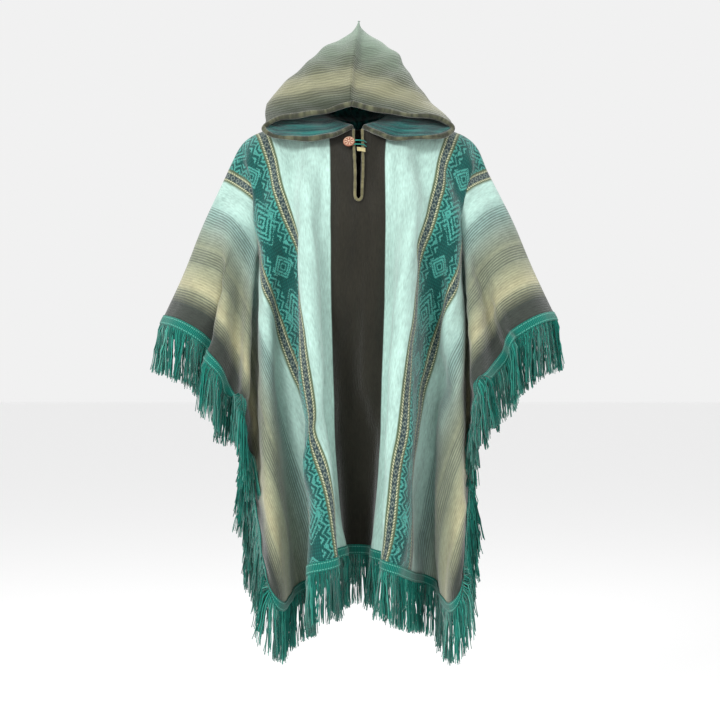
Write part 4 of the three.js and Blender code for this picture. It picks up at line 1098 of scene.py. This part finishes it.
def button():
    """A domed disc with eight carved petals round a boss, on a short shank."""
    at, normal = on_front([(BUTTON_U, BUTTON_V, 0.0)])
    at, normal = at[0], normal[0]
    right = unit(np.cross((0, 0, 1.0), normal))
    up = np.cross(normal, right)
    back = LOOP_RAISE + LOOP_RADIUS + 0.6
    angle = np.linspace(0, 2 * np.pi, 96, endpoint=False)
    rings = [(1.8, CLOTH / 2), (1.8, back), (9.6, back), (11.2, back + 0.8), (BUTTON_RADIUS, back + 1.8),
             (11.0, back + 3.0), (10.2, back + 3.5), (9.4, back + 3.1)]
    rings += [(r, None) for r in np.linspace(8.6, 0.4, 12)]
    points, flat = [], []
    for r, h in rings:
        height = np.full_like(angle, h) if h is not None else None
        if height is None:
            petals = 0.5 + 0.5 * np.sin(PETALS * angle)
            height = back + 3.2 + 0.7 * np.cos(r / 6) - 0.9 * petals * np.exp(-(((r - 5.6) / 2.4) ** 2))
            height += 0.7 * math.exp(-((r / 1.8) ** 2))
        round_ = np.outer(np.cos(angle), right) + np.outer(np.sin(angle), up)
        points.append(at + np.outer(height, normal) + r * round_)
        flat.append(np.stack([np.full_like(angle, r), angle / (2 * np.pi) * 1000.0], -1))
    faces = bar_faces(len(rings), len(angle))
    piece = make_object("carved_button", np.concatenate(points), faces, np.concatenate(flat), WOOD)
    return dress(piece, "button", "button")


def button_loop():
    """A doubled cord from the right of the slit, over both bindings and round the button's shank."""
    low = CLOTH / 2 + GAP + LOOP_RADIUS
    strand = [(LOOP_START, low), (13, low + 3.3), (9.6, LOOP_RAISE), (0, LOOP_RAISE), (-9.6, LOOP_RAISE),
              (-14, LOOP_RAISE), (-19, LOOP_RAISE)]
    places = [(u, BUTTON_V - LOOP_SPREAD, h) for u, h in strand]
    for degrees in range(20, 180, 20):
        a = math.radians(degrees)
        u, v = BUTTON_U - LOOP_SPREAD * math.sin(a), BUTTON_V - LOOP_SPREAD * math.cos(a)
        places.append((u, v, LOOP_RAISE))
    places += [(u, BUTTON_V + LOOP_SPREAD, h) for u, h in strand[::-1]]
    path, normals = on_front(places)
    path = through(path, np.linspace(0, 1, 90))
    normals = unit(through(normals, np.linspace(0, 1, 90)))
    piece = make_object("button_loop_cord", *tube(path, normals, LOOP_RADIUS, 10), LOOP_CLOTH)
    return dress(piece, "loop", "button_loop")


# -------------------- putting it together
CUFF_RUN = 600.0               # how far down a panel's outline the fringe belongs to the hand's side


def whole_cloth(name, sign):
    """A panel with its tape and its hem fringe."""
    piece = panel(name, sign)
    heading = tape(f"trim_{name}", sign)
    hem = yarns(f"fringe_{name}", sign, CUFF_RUN, OUTLINE - CUFF_RUN, f"fringe_{name}")


def cuff_yarns(side):
    """Yarns round a hand's opening and down the edges in the folds below it, on the front and the back."""
    for sign, face in ((1, "front"), (-1, "back")):
        starts_here = (side == "left") == (sign > 0)
        low, high = (0.0, CUFF_RUN) if starts_here else (OUTLINE - CUFF_RUN, OUTLINE)
        yarns(f"fringe_{side}_{face}", sign, low, high, f"fringe_{side}")


def hood(side):
    outer, rim = hood_half(side, 0.0, HOOD, f"hood_{side}", CLOTH)
    inner, _ = hood_half(side, -(CLOTH / 2 + 1.4 + LINING / 2), LINING_CLOTH, f"hood_lining_{side}", LINING)
    rolled = hood_rim(f"hood_rim_{side}", side, rim)


whole_cloth("front", 1)
whole_cloth("back", -1)
for hand in ("left", "right"):
    cuff_yarns(hand)
    hood(hand)
slit_binding()
binding_tab()
button()
button_loop()


# -------------------- floor, light and camera
def plain_material(name, shade):
    material = bpy.data.materials.new(name)
    material.use_nodes = True
    shader = material.node_tree.nodes["Principled BSDF"]
    shader.inputs["Base Color"].default_value = shade
    shader.inputs["Roughness"].default_value = 0.9
    return material


def floor():
    bpy.ops.mesh.primitive_plane_add(size=60, location=(0, 0, CAD_BOX[0].z - 0.35))
    ground = bpy.context.object
    ground.name = "floor"
    ground.data.materials.append(plain_material("pale_floor", (0.95, 0.95, 0.95, 1)))


def lamp(name, place, target, size, power):
    data = bpy.data.lights.new(name, "AREA")
    data.size = size
    data.energy = power
    light = bpy.data.objects.new(name, data)
    light.location = place
    direction = np.array(target) - np.array(place)
    light.rotation_euler = Vector(direction).to_track_quat("-Z", "Y").to_euler()
    bpy.context.scene.collection.objects.link(light)


def studio():
    world = bpy.data.worlds.new("studio")
    world.use_nodes = True
    world.node_tree.nodes["Background"].inputs[0].default_value = (1.0, 1.0, 1.0, 1)
    world.node_tree.nodes["Background"].inputs[1].default_value = 0.88
    bpy.context.scene.world = world
    lamp("key", (-1.9, -2.8, 1.5), (0, 0, -0.4), 0.9, 92)
    lamp("fill", (2.4, -2.6, 0.4), (0, 0, -0.4), 2.2, 22)
    lamp("top", (0.2, 0.6, 2.4), (0, 0, -0.3), 1.4, 30)


CAMERA_DISTANCE = 3.0
CAMERA_HEIGHT = -0.45
PICTURE_WIDTH = 1.44           # of the plane through the neck


def camera():
    data = bpy.data.cameras.new("camera")
    data.sensor_width = 36
    data.lens = data.sensor_width * CAMERA_DISTANCE / PICTURE_WIDTH
    eye = bpy.data.objects.new("camera", data)
    eye.location = (0.004, -CAMERA_DISTANCE, CAMERA_HEIGHT)
    eye.rotation_euler = (math.pi / 2, 0, 0)
    bpy.context.scene.collection.objects.link(eye)
    bpy.context.scene.camera = eye


floor()
studio()
camera()
bpy.context.scene.view_settings.view_transform = "Standard"
